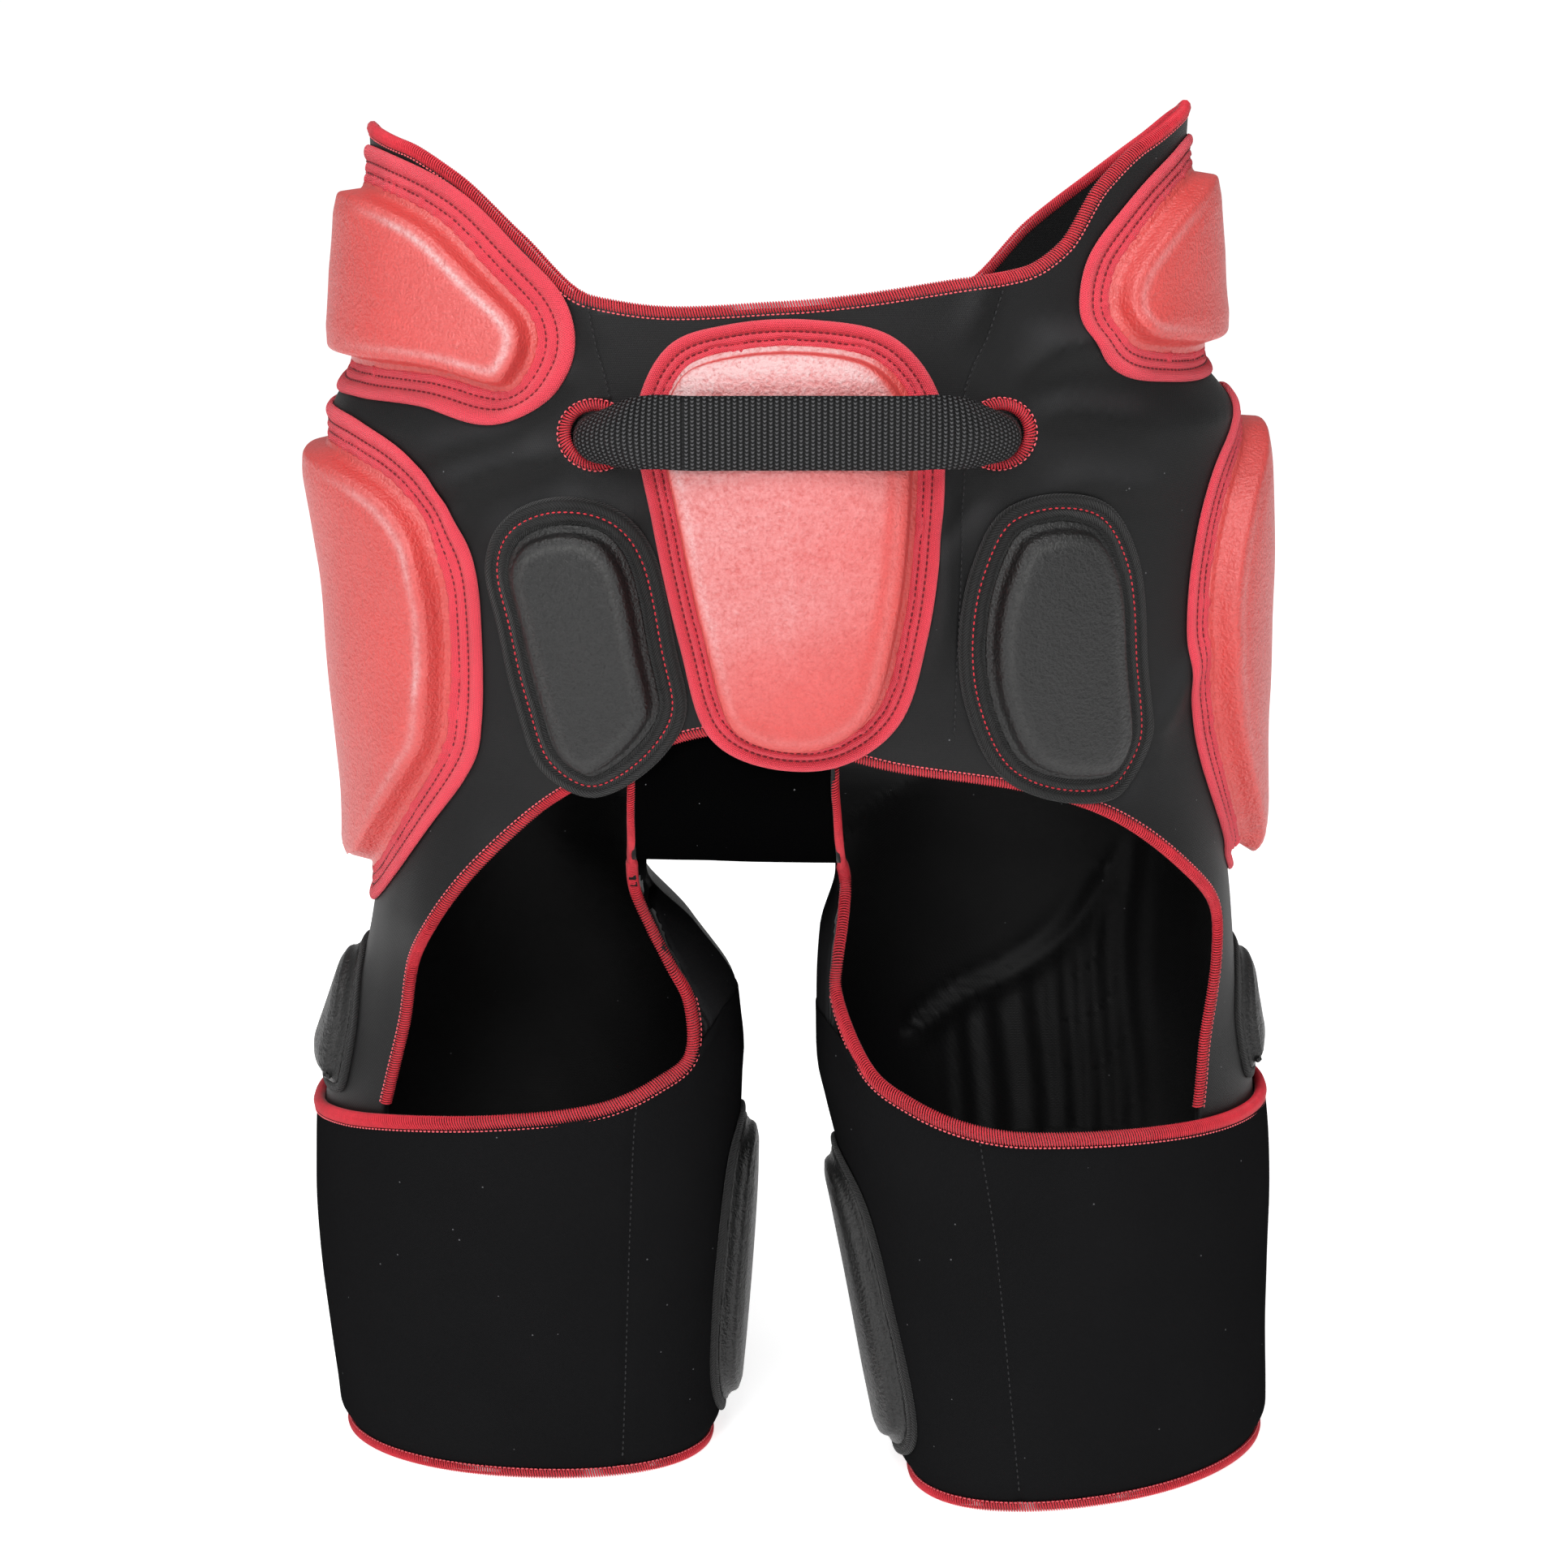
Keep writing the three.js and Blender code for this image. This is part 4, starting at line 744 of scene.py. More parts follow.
def moulded_skin_group():
    """Pebbled skin of moulded foam: height and a mask of the pits."""
    tree, given, made = shader_group("moulded_skin", {
        "Vector": ("Vector", None), "Pebble": ("Float", 700.0), "Pimple": ("Float", 90.0),
        "Pimples": ("Float", 0.5),
    }, ["Height", "Pits"])
    maths = partial(math_node, tree)
    warp = node(tree, "ShaderNodeTexNoise", {"Vector": given["Vector"], "Scale": 260.0, "Detail": 2.0})
    pebble = node(tree, "ShaderNodeTexNoise", {"Vector": given["Vector"], "Scale": given["Pebble"],
                                               "Detail": 3.0, "Roughness": 0.6})
    cell = node(tree, "ShaderNodeTexVoronoi", {"Vector": given["Vector"], "Scale": given["Pimple"]})
    pimple = maths("MULTIPLY", maths("SMOOTH_MIN", cell.outputs["Distance"], 0.16, 0.05), -6.0)
    chosen = node(tree, "ShaderNodeSeparateColor", {"Color": cell.outputs["Color"]})
    rare = maths("GREATER_THAN", chosen.outputs[0], 0.72)
    pimple = maths("MULTIPLY", maths("ADD", pimple, 0.96), maths("MULTIPLY", rare, given["Pimples"]))
    height = maths("ADD", maths("MULTIPLY", pebble.outputs["Fac"], 0.9),
                   maths("MULTIPLY", warp.outputs["Fac"], 0.5))
    tree.links.new(maths("ADD", height, pimple), made["Height"])
    tree.links.new(maths("LESS_THAN", pebble.outputs["Fac"], 0.42), made["Pits"])
    return tree


def woven_tape_group():
    """Crosswise ribs of a woven tape: height and shade."""
    tree, given, made = shader_group("woven_tape", {
        "Vector": ("Vector", None), "Rib": ("Float", 0.0011), "Row": ("Float", 0.0009),
    }, ["Height", "Shade"])
    maths = partial(math_node, tree)
    place = node(tree, "ShaderNodeSeparateXYZ", {"Vector": given["Vector"]})
    along = maths("DIVIDE", place.outputs["X"], given["Rib"])
    across = maths("DIVIDE", place.outputs["Y"], given["Row"])
    shift = maths("MULTIPLY", maths("FLOOR", across), 0.5)
    rib = maths("ABSOLUTE", maths("SINE", maths("MULTIPLY", maths("ADD", along, shift), math.pi)))
    row = maths("ABSOLUTE", maths("SINE", maths("MULTIPLY", across, math.pi)))
    height = maths("MULTIPLY", maths("POWER", rib, 0.6), maths("ADD", maths("MULTIPLY", row, 0.6), 0.4))
    tree.links.new(height, made["Height"])
    tree.links.new(maths("ADD", maths("MULTIPLY", height, 0.45), 0.55), made["Shade"])
    return tree


def herringbone_group():
    """Herringbone twill: bands of slanted threads that turn over at each band."""
    tree, given, made = shader_group("herringbone", {
        "Vector": ("Vector", None), "Thread": ("Float", 0.0013), "Band": ("Float", 0.0030),
    }, ["Height", "Shade"])
    maths = partial(math_node, tree)
    place = node(tree, "ShaderNodeSeparateXYZ", {"Vector": given["Vector"]})
    band = maths("PINGPONG", place.outputs["Y"], given["Band"])
    along = maths("DIVIDE", maths("ADD", place.outputs["X"], band), given["Thread"])
    rib = maths("ABSOLUTE", maths("SINE", maths("MULTIPLY", along, math.pi)))
    bands = maths("DIVIDE", place.outputs["Y"], given["Band"])
    edge = maths("ABSOLUTE", maths("SINE", maths("MULTIPLY", bands, math.pi)))
    height = maths("MULTIPLY", maths("POWER", rib, 0.7), maths("ADD", maths("MULTIPLY", edge, 0.4), 0.6))
    tree.links.new(height, made["Height"])
    tree.links.new(maths("ADD", maths("MULTIPLY", height, 2.4), -0.5), made["Shade"])
    return tree


def unevenness_group():
    """Slow change of colour over a surface, with faint lint."""
    tree, given, made = shader_group("unevenness", {
        "Vector": ("Vector", None), "Size": ("Float", 18.0), "Amount": ("Float", 0.2), "Lint": ("Float", 0.0),
    }, ["Shade", "Fleck"])
    maths = partial(math_node, tree)
    slow = node(tree, "ShaderNodeTexNoise", {"Vector": given["Vector"], "Scale": given["Size"],
                                             "Detail": 4.0})
    fine = node(tree, "ShaderNodeTexNoise", {"Vector": given["Vector"], "Scale": 1500.0, "Detail": 1.0})
    fine = maths("MULTIPLY", maths("SUBTRACT", fine.outputs["Fac"], 0.5), 0.8)
    both = maths("ADD", maths("SUBTRACT", slow.outputs["Fac"], 0.5), fine)
    tree.links.new(maths("MULTIPLY_ADD", both, given["Amount"], 1.0), made["Shade"])
    lint = node(tree, "ShaderNodeTexVoronoi", {"Vector": given["Vector"], "Scale": 160.0})
    near = maths("LESS_THAN", lint.outputs["Distance"], 0.06)
    chosen = node(tree, "ShaderNodeSeparateColor", {"Color": lint.outputs["Color"]})
    rare = maths("GREATER_THAN", chosen.outputs[1], 0.86)
    tree.links.new(maths("MULTIPLY", maths("MULTIPLY", near, rare), given["Lint"]), made["Fleck"])
    return tree


SKIN = moulded_skin_group()
TAPE = woven_tape_group()
HERRINGBONE = herringbone_group()
UNEVEN = unevenness_group()


def finish(name, colour, roughness, sheen=0.0):
    """A bare material and the parts that every finish needs."""
    material = bpy.data.materials.new(name)
    material.use_nodes = True
    tree = material.node_tree
    shade = tree.nodes["Principled BSDF"]
    shade.inputs["Base Color"].default_value = (*colour, 1)
    shade.inputs["Roughness"].default_value = roughness
    shade.inputs["Specular IOR Level"].default_value = 0.4
    if sheen:
        shade.inputs["Sheen Weight"].default_value = sheen
        shade.inputs["Sheen Roughness"].default_value = 0.45
        shade.inputs["Coat Roughness"].default_value = 0.32
    place = tree.nodes.new("ShaderNodeTexCoord")
    return material, tree, shade, place.outputs["Object"], place.outputs["UV"]


def tint(tree, colour, shade):
    """The colour made lighter or darker by a mask that changes over the surface."""
    mix = node(tree, "ShaderNodeMix", {0: 1.0}, data_type="RGBA", blend_type="MULTIPLY")
    mix.inputs[6].default_value = (*colour, 1)
    grey = node(tree, "ShaderNodeCombineColor", {0: shade, 1: shade, 2: shade})
    tree.links.new(grey.outputs[0], mix.inputs[7])
    return mix.outputs[2]


def raise_up(tree, shade, height, strength, distance):
    bump = node(tree, "ShaderNodeBump", {"Height": height, "Strength": strength, "Distance": distance})
    tree.links.new(bump.outputs["Normal"], shade.inputs["Normal"])


def group(tree, which, **inputs):
    made = tree.nodes.new("ShaderNodeGroup")
    made.node_tree = which
    for key, value in inputs.items():
        if isinstance(value, bpy.types.NodeSocket):
            tree.links.new(value, made.inputs[key])
        else:
            made.inputs[key].default_value = value
    return made.outputs


def foam_finish(name, colour, painted_highlight, roughness, pimples, grain):
    """Moulded foam: a grained skin with a painted highlight, paler where it turns up and forwards to the
    light, its grain stronger there.
    """
    material, tree, shade, place, _ = finish(name, colour, roughness)
    maths = partial(math_node, tree)
    skin = group(tree, SKIN, Vector=place, Pimples=pimples)
    slow = group(tree, UNEVEN, Vector=place, Size=22.0, Amount=0.22)
    level = maths("SUBTRACT", skin["Height"], 0.7)
    # Painted highlight mark: mixes the foam towards its pale highlight colour and makes the grain coarser
    # there.
    highlight_mask = node(tree, "ShaderNodeAttribute", attribute_name="painted_highlight")
    coarse = maths("MULTIPLY", maths("ADD", highlight_mask.outputs["Fac"], 0.3), grain)
    grained = maths("MULTIPLY", slow["Shade"], maths("MULTIPLY_ADD", level, coarse, 1.0))
    amount = maths("MULTIPLY", highlight_mask.outputs["Fac"], maths("MULTIPLY_ADD", level, 2.2, 0.9))
    mix = node(tree, "ShaderNodeMix", {0: amount}, data_type="RGBA")
    tree.links.new(tint(tree, colour, grained), mix.inputs[6])
    mix.inputs[7].default_value = (*painted_highlight, 1)
    tree.links.new(mix.outputs[2], shade.inputs["Base Color"])
    tree.links.new(maths("MULTIPLY_ADD", skin["Pits"], 0.14, roughness), shade.inputs["Roughness"])
    raise_up(tree, shade, skin["Height"], 1.0, 0.0011)
    return material


def knit_finish(name, colour, roughness, sheen, wale):
    material, tree, shade, place, cloth = finish(name, colour, roughness, sheen)
    maths = partial(math_node, tree)
    weave = group(tree, TAPE, Vector=cloth, Rib=wale, Row=wale * 0.8)
    slow = group(tree, UNEVEN, Vector=place, Size=14.0, Amount=0.35, Lint=0.35)
    height = maths("ADD", weave["Height"], maths("MULTIPLY", slow["Shade"], 1.2))
    pale = node(tree, "ShaderNodeMix", {0: slow["Fleck"]}, data_type="RGBA")
    tree.links.new(tint(tree, colour, slow["Shade"]), pale.inputs[6])
    pale.inputs[7].default_value = (0.25, 0.25, 0.26, 1)
    # Knit and gusset: painted light and shade, the lit mark, multiplies the colour.
    if name in ("black_knit", "shaded_black_gusset"):
        lit = node(tree, "ShaderNodeAttribute", attribute_name="lit")
        tree.links.new(tint(tree, colour, maths("MULTIPLY", slow["Shade"], lit.outputs["Fac"])),
                       pale.inputs[6])
        seam = node(tree, "ShaderNodeAttribute", attribute_name="seam")
        near = maths("ABSOLUTE", seam.outputs["Fac"])
        ridge = node(tree, "ShaderNodeMapRange", {"Value": near, "From Min": 0.0, "From Max": 0.0011,
                                                  "To Min": -2.0, "To Max": 0.0})
        height = maths("ADD", height, ridge.outputs[0])
    tree.links.new(pale.outputs[2], shade.inputs["Base Color"])
    raise_up(tree, shade, height, 0.35, 0.00025)
    return material


def tape_finish(name, colour, roughness):
    material, tree, shade, place, cloth = finish(name, colour, roughness, sheen=0.15)
    maths = partial(math_node, tree)
    weave = group(tree, TAPE, Vector=cloth, Rib=0.00085, Row=0.0007)
    slow = group(tree, UNEVEN, Vector=place, Size=45.0, Amount=0.3)
    both = maths("MULTIPLY", weave["Shade"], slow["Shade"])
    tree.links.new(tint(tree, colour, both), shade.inputs["Base Color"])
    raise_up(tree, shade, weave["Height"], 1.0, 0.0005)
    return material


def herringbone_finish(name, colour, roughness):
    material, tree, shade, place, cloth = finish(name, colour, roughness, sheen=0.1)
    maths = partial(math_node, tree)
    weave = group(tree, HERRINGBONE, Vector=cloth)
    slow = group(tree, UNEVEN, Vector=place, Size=30.0, Amount=0.3)
    both = maths("MULTIPLY", weave["Shade"], slow["Shade"])
    tree.links.new(tint(tree, colour, both), shade.inputs["Base Color"])
    raise_up(tree, shade, weave["Height"], 1.0, 0.0007)
    return material


def thread_finish(name, colour, roughness):
    material, tree, shade, place, _ = finish(name, colour, roughness, sheen=0.1)
    slow = group(tree, UNEVEN, Vector=place, Size=160.0, Amount=0.5)
    tree.links.new(tint(tree, colour, slow["Shade"]), shade.inputs["Base Color"])
    strand = node(tree, "ShaderNodeTexNoise", {"Vector": place, "Scale": 2600.0, "Detail": 1.0})
    raise_up(tree, shade, strand.outputs["Fac"], 0.4, 0.0002)
    return material


def webbing_finish(name, colour, roughness):
    """Ribbed webbing: columns of small slanted floats across the strap, their crowns painted paler as a
    painted glint.
    """
    material, tree, shade, place, cloth = finish(name, colour, roughness)
    maths = partial(math_node, tree)
    at = node(tree, "ShaderNodeSeparateXYZ", {"Vector": cloth})
    column = maths("DIVIDE", at.outputs["Y"], 0.0024)
    parity = maths("MULTIPLY", maths("FLOOR", column), 0.5)
    lean = maths("PINGPONG", column, 0.5)
    shift = maths("ADD", parity, maths("MULTIPLY", lean, 0.9))
    float_at = maths("ADD", maths("DIVIDE", at.outputs["X"], 0.0016), shift)
    dash = maths("ABSOLUTE", maths("SINE", maths("MULTIPLY", float_at, math.pi)))
    rib = maths("ABSOLUTE", maths("SINE", maths("MULTIPLY", column, math.pi)))
    height = maths("MULTIPLY", maths("POWER", dash, 0.7), maths("POWER", rib, 0.7))
    slow = group(tree, UNEVEN, Vector=place, Size=60.0, Amount=0.3)
    # Painted glint: the tops of the floats are painted pale grey on the black webbing.
    painted_glint = node(tree, "ShaderNodeMapRange", {"Value": height, "From Min": 0.55, "From Max": 0.95,
                                              "To Min": 0.0, "To Max": 1.0})
    mix = node(tree, "ShaderNodeMix", {0: maths("MULTIPLY", painted_glint.outputs[0], slow["Shade"])},
               data_type="RGBA")
    mix.inputs[6].default_value = (*colour, 1)
    mix.inputs[7].default_value = (0.075, 0.075, 0.078, 1)
    tree.links.new(mix.outputs[2], shade.inputs["Base Color"])
    raise_up(tree, shade, height, 1.0, 0.0009)
    return material


LOOKS = {
    "knit": knit_finish("black_knit", (0.0056, 0.0056, 0.0059), 0.55, 0.02, 0.0009),
    # The gusset is a shaded copy of the black knit: no specular, and a painted shadow from its lit mark.
    "gusset": knit_finish("shaded_black_gusset", (0.0056, 0.0056, 0.0059), 0.7, 0.0, 0.0009),
    "neoprene": knit_finish("black_neoprene", (0.0078, 0.0078, 0.0082), 0.8, 0.0, 0.0007),
    # The second colour of each foam is the colour of its painted highlight.
    "red_foam": foam_finish("red_foam", (0.545, 0.045, 0.040), (0.60, 0.36, 0.36), 0.38, 0.5, 0.9),
    "black_foam": foam_finish("black_foam", (0.0050, 0.0050, 0.0050), (0.052, 0.052, 0.050), 0.42, 0.15, 2.4),
    "red_tape": tape_finish("red_tape", (0.96, 0.068, 0.104), 0.75),
    "black_tape": herringbone_finish("black_tape", (0.012, 0.012, 0.012), 0.8),
    "red_thread": thread_finish("red_thread", (0.55, 0.020, 0.036), 0.55),
    "dark_red_thread": thread_finish("dark_red_thread", (0.15, 0.004, 0.010), 0.6),
    "pale_red_thread": thread_finish("pale_red_thread", (0.72, 0.10, 0.12), 0.6),
    "black_thread": thread_finish("black_thread", (0.010, 0.010, 0.011), 0.6),
    "webbing": webbing_finish("black_webbing", (0.0018, 0.0018, 0.0020), 0.5),
}
SPECULAR = {"knit": 0.2, "gusset": 0.0, "neoprene": 0.0, "red_foam": 0.75, "black_foam": 0.45,
            "red_tape": 0.2, "black_tape": 0.2,
            "red_thread": 0.35, "dark_red_thread": 0.3, "pale_red_thread": 0.3, "black_thread": 0.3,
            "webbing": 0.2}
for key, value in SPECULAR.items():
    LOOKS[key].node_tree.nodes["Principled BSDF"].inputs["Specular IOR Level"].default_value = value


def dress(piece, look, *nodes):
    """Gives a piece its finish and its place on the girdle."""
    piece.data.materials.clear()
    piece.data.materials.append(LOOKS[look])
    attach(piece, "root")
    if nodes:
        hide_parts(*nodes)
    return piece


# Threads along a path, made by Geometry Nodes

def growing_tree(name, sizes):
    tree = bpy.data.node_groups.new(name, "GeometryNodeTree")
    tree.interface.new_socket("Path", in_out="INPUT", socket_type="NodeSocketGeometry")
    for key, value in sizes.items():
        tree.interface.new_socket(key, in_out="INPUT", socket_type="NodeSocketFloat").default_value = value
    tree.interface.new_socket("Finish", in_out="INPUT", socket_type="NodeSocketMaterial")
    tree.interface.new_socket("Threads", in_out="OUTPUT", socket_type="NodeSocketGeometry")
    given = tree.nodes.new("NodeGroupInput").outputs
    made = tree.nodes.new("NodeGroupOutput").inputs
    return tree, given, made


def along_the_path(tree, given, made, thread):
    along = node(tree, "GeometryNodeInputNamedAttribute", {"Name": "along"}, data_type="FLOAT_VECTOR")
    facing = node(tree, "GeometryNodeInputNamedAttribute", {"Name": "facing"}, data_type="FLOAT_VECTOR")
    turn = node(tree, "FunctionNodeAxesToRotation", {0: along.outputs[0], 1: facing.outputs[0]},
                primary_axis="Z", secondary_axis="X")
    size = node(tree, "GeometryNodeInputNamedAttribute", {"Name": "size"}, data_type="FLOAT_VECTOR")
    each = node(tree, "GeometryNodeInstanceOnPoints",
                {"Points": given["Path"], "Instance": thread, "Rotation": turn.outputs[0],
                                                       "Scale": size.outputs[0]})
    real = node(tree, "GeometryNodeRealizeInstances", {"Geometry": each.outputs[0]})
    soft = node(tree, "GeometryNodeSetShadeSmooth", {"Geometry": real.outputs[0]})
    last = node(tree, "GeometryNodeSetMaterial", {"Geometry": soft.outputs[0], "Material": given["Finish"]})
    tree.links.new(last.outputs[0], made["Threads"])


def edge_thread_tree():
    """Loops of thread laid slantwise over a cloth edge, side by side."""
    tree, given, made = growing_tree("edge_threads",
                                     {"Half Width": 0.0035, "Half Thickness": 0.0023, "Thread": 0.0006,
                                      "Slant": 0.28})
    loop = node(tree, "GeometryNodeCurvePrimitiveCircle", {"Resolution": 10, "Radius": 1.0})
    size = node(tree, "ShaderNodeCombineXYZ", {0: given["Half Thickness"], 1: given["Half Width"], 2: 1.0})
    flat = node(tree, "GeometryNodeTransform", {"Geometry": loop.outputs[0], "Scale": size.outputs[0]})
    lean = node(tree, "ShaderNodeCombineXYZ", {0: given["Slant"]})
    slanted = node(tree, "GeometryNodeTransform", {"Geometry": flat.outputs[0], "Rotation": lean.outputs[0]})
    strand = node(tree, "GeometryNodeCurvePrimitiveCircle", {"Resolution": 3, "Radius": given["Thread"]})
    solid = node(tree, "GeometryNodeCurveToMesh", {"Curve": slanted.outputs[0],
                                                   "Profile Curve": strand.outputs[0]})
    along_the_path(tree, given, made, solid.outputs[0])
    return tree


def stitch_tree():
    """Short raised stitches in a row."""
    tree, given, made = growing_tree("stitches", {"Length": 0.0018, "Width": 0.0007, "Height": 0.0005})
    bead = node(tree, "GeometryNodeMeshUVSphere", {"Segments": 6, "Rings": 3, "Radius": 0.5})
    size = node(tree, "ShaderNodeCombineXYZ", {0: given["Height"], 1: given["Width"], 2: given["Length"]})
    stitch = node(tree, "GeometryNodeTransform", {"Geometry": bead.outputs["Mesh"], "Scale": size.outputs[0]})
    along_the_path(tree, given, made, stitch.outputs[0])
    return tree


EDGE_THREADS = edge_thread_tree()
STITCHES = stitch_tree()


def grow(name, tree, look, points, facing, closed, sizes=None, breadth=1.0):
    """Threads or stitches at every point of a path, as a plain mesh."""
    ahead = np.roll(points, -1, 0) - np.roll(points, 1, 0)
    if not closed:
        ahead[0], ahead[-1] = points[1] - points[0], points[-1] - points[-2]
    mesh = bpy.data.meshes.new(name + "_path")
    mesh.from_pydata([tuple(p) for p in (points + PLACE) * METRE], [], [])
    breadths = np.broadcast_to(breadth, len(points))
    scale = np.stack([np.ones(len(points)), breadths, np.ones(len(points))], -1)
    for key, value in (("along", unit(ahead)), ("facing", facing), ("size", scale)):
        made = mesh.attributes.new(key, "FLOAT_VECTOR", "POINT")
        made.data.foreach_set("vector", value.astype(np.float32).ravel())
    path = bpy.data.objects.new(name + "_path", mesh)
    bpy.context.scene.collection.objects.link(path)
    modifier = path.modifiers.new("threads", "NODES")
    modifier.node_group = tree
    values = {**(sizes or {}), "Finish": LOOKS[look]}
    for item in tree.interface.items_tree:
        if item.in_out == "INPUT" and item.name in values:
            modifier[item.identifier] = values[item.name]
    bpy.context.view_layer.update()
    made = bpy.data.meshes.new_from_object(path.evaluated_get(bpy.context.evaluated_depsgraph_get()))
    made.name = name
    piece = bpy.data.objects.new(name, made)
    bpy.context.scene.collection.objects.link(piece)
    bpy.data.objects.remove(path)
    return piece


def spaced(line, facing, pitch, closed):
    """A path and its facing, resampled at an even pitch."""
    both = np.concatenate([line, facing], 1)
    if closed:
        both = np.concatenate([both, both[:1]])
    length = np.concatenate([[0], np.cumsum(np.linalg.norm(np.diff(both[:, :3], axis=0), axis=1))])
    count = max(3, int(round(length[-1] / pitch)))
    at = np.linspace(0, length[-1], count + 1)
    even_line = np.stack([np.interp(at, length, both[:, i]) for i in range(6)], -1)
    if closed:
        even_line = even_line[:-1]
    return even_line[:, :3], unit(even_line[:, 3:])


THREAD_PITCH = 1.15


def overlock(name, node_name, line, facing, closed=False, half_width=3.5, half_thickness=2.4, slant=0.28,
             side=1,
             breadth=lambda points: 1.0):
    """An overlocked edge: thread loops with a row of chain stitches along one side."""
    points, face = spaced(line, facing, THREAD_PITCH, closed)
    piece = grow(name, EDGE_THREADS, "red_thread", points, face, closed,
                 {"Half Width": half_width * METRE, "Half Thickness": half_thickness * METRE,
                  "Thread": 0.00055, "Slant": slant},
                 breadth(points))
    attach(piece, "root")
    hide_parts(node_name)
    points, face = spaced(line, facing, 2.0, closed)
    if not closed:
        full = np.broadcast_to(breadth(points), len(points)) > 0.97
        points, face = points[full], face[full]
    ahead = unit(np.roll(points, -1, 0) - np.roll(points, 1, 0))
    if not closed:
        ahead[0], ahead[-1] = ahead[1], ahead[-2]
    beside_it = unit(np.cross(ahead, face)) * side
    chain = grow(name + "_chain", STITCHES, "pale_red_thread",
                 points + beside_it * (half_width + 0.1) + face * (half_thickness - 0.4), face, closed,
                 {"Length": 0.0016, "Width": 0.0008, "Height": 0.0007})
    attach(chain, "root")


# Foam pads and their sewn borders

def on_side(u, z):
    base = side_point(u, z)
    return base, unit(slope_of(body_reach, base, 1.0)), fold_height(base)


def on_front(x, z):
    base = front_point(x, z)
    return base, unit(slope_of(body_reach, base, 1.0)), fold_height(base)


def on_thigh(table, turn, skin, folded):
    place = thigh_point(table, turn, skin)

    def ground(u, z):
        base = place(u, z)
        normal = unit(slope_of(lambda q: thigh_reach(table, turn, q), base, 1.0))
        return base, normal, fold_height(base) if folded else np.zeros(base.shape[:-1])
    return ground


CHART_STEP = 3


def charted(ground, outline):
    """The same ground read from a table of its places round an outline, which is much quicker."""
    low = outline.min(0) - 5 * CHART_STEP
    count = np.ceil((outline.max(0) - low) / CHART_STEP).astype(int) + 6
    axes = [low[i] + CHART_STEP * np.arange(count[i]) for i in (0, 1)]
    base, normal, fold = ground(*np.meshgrid(*axes, indexing="ij"))
    chart = np.concatenate([base, normal, fold[..., None]], -1)

    def weights(t):
        return [-0.5 * t + t ** 2 - 0.5 * t ** 3, 1 - 2.5 * t ** 2 + 1.5 * t ** 3,
                0.5 * t + 2 * t ** 2 - 1.5 * t ** 3, -0.5 * t ** 2 + 0.5 * t ** 3]

    def read_chart(u, z):
        at = np.stack([(u - low[0]) / CHART_STEP, (z - low[1]) / CHART_STEP], -1)
        cell = np.clip(np.floor(at).astype(int), 1, count - 3)
        t = at - cell
        total = 0
        for i, wide in enumerate(weights(t[..., 0:1])):
            for j, high in enumerate(weights(t[..., 1:2])):
                total = total + wide * high * chart[cell[..., 0] + i - 1, cell[..., 1] + j - 1]
        return total[..., :3], unit(total[..., 3:6]), total[..., 6]
    return read_chart


def pad_outline(table, ground, count):
    in_front = ground is on_front
    scale = np.array([HALF_WIDTH if in_front else math.radians(1) * 150, HEIGHT])
    return curve_through(table * scale, count, closed=True)


ROUNDING = 0.7


def drawn_in(outline, ground, distance):
    """An outline moved inwards along the cloth, in small steps that keep it smooth."""
    steps = max(1, math.ceil(abs(distance) / 2.5))
    for _ in range(steps):
        u, z = outline.T
        here = ground(u, z)[0]
        du = (ground(u + 1, z)[0] - ground(u - 1, z)[0]) / 2
        dz = (ground(u, z + 1)[0] - ground(u, z - 1)[0]) / 2
        ahead = np.roll(here, -1, 0) - np.roll(here, 1, 0)
        inward = unit(np.cross(np.cross(du, dz), ahead))
        middle = here.mean(0)
        if (inward * (middle - here)).sum() < 0:
            inward = -inward
        move = np.stack([(inward * du).sum(1) / (du ** 2).sum(1), (inward * dz).sum(1) / (dz ** 2).sum(1)],
                        -1)
        outline = outline + move * distance / steps
        for _ in range(round(ROUNDING * abs(distance) / steps * (len(outline) / 180) ** 2)):
            outline = 0.5 * outline + 0.25 * np.roll(outline, 1, 0) + 0.25 * np.roll(outline, -1, 0)
    return outline


def rings_on(ground, outlines, lifts, lean=0.0):
    rows = []
    for outline, lift in zip(outlines, lifts):
        base, normal, fold = ground(outline[:, 0], outline[:, 1])
        lift = np.broadcast_to(lift, fold.shape)
        point = base + normal * (fold + lift)[:, None]
        point[:, 0] += lean * lift
        rows.append(point)
    return np.array(rows)


def distance_to(ring, points):
    """Distance of each point from a closed ring of points."""
    a, b = ring, np.roll(ring, -1, 0)
    run = b - a
    gap = points[:, None, :] - a
    t = np.clip((gap * run).sum(-1) / (run ** 2).sum(-1), 0, 1)
    return np.sqrt(((gap - t[..., None] * run) ** 2).sum(-1).min(1))


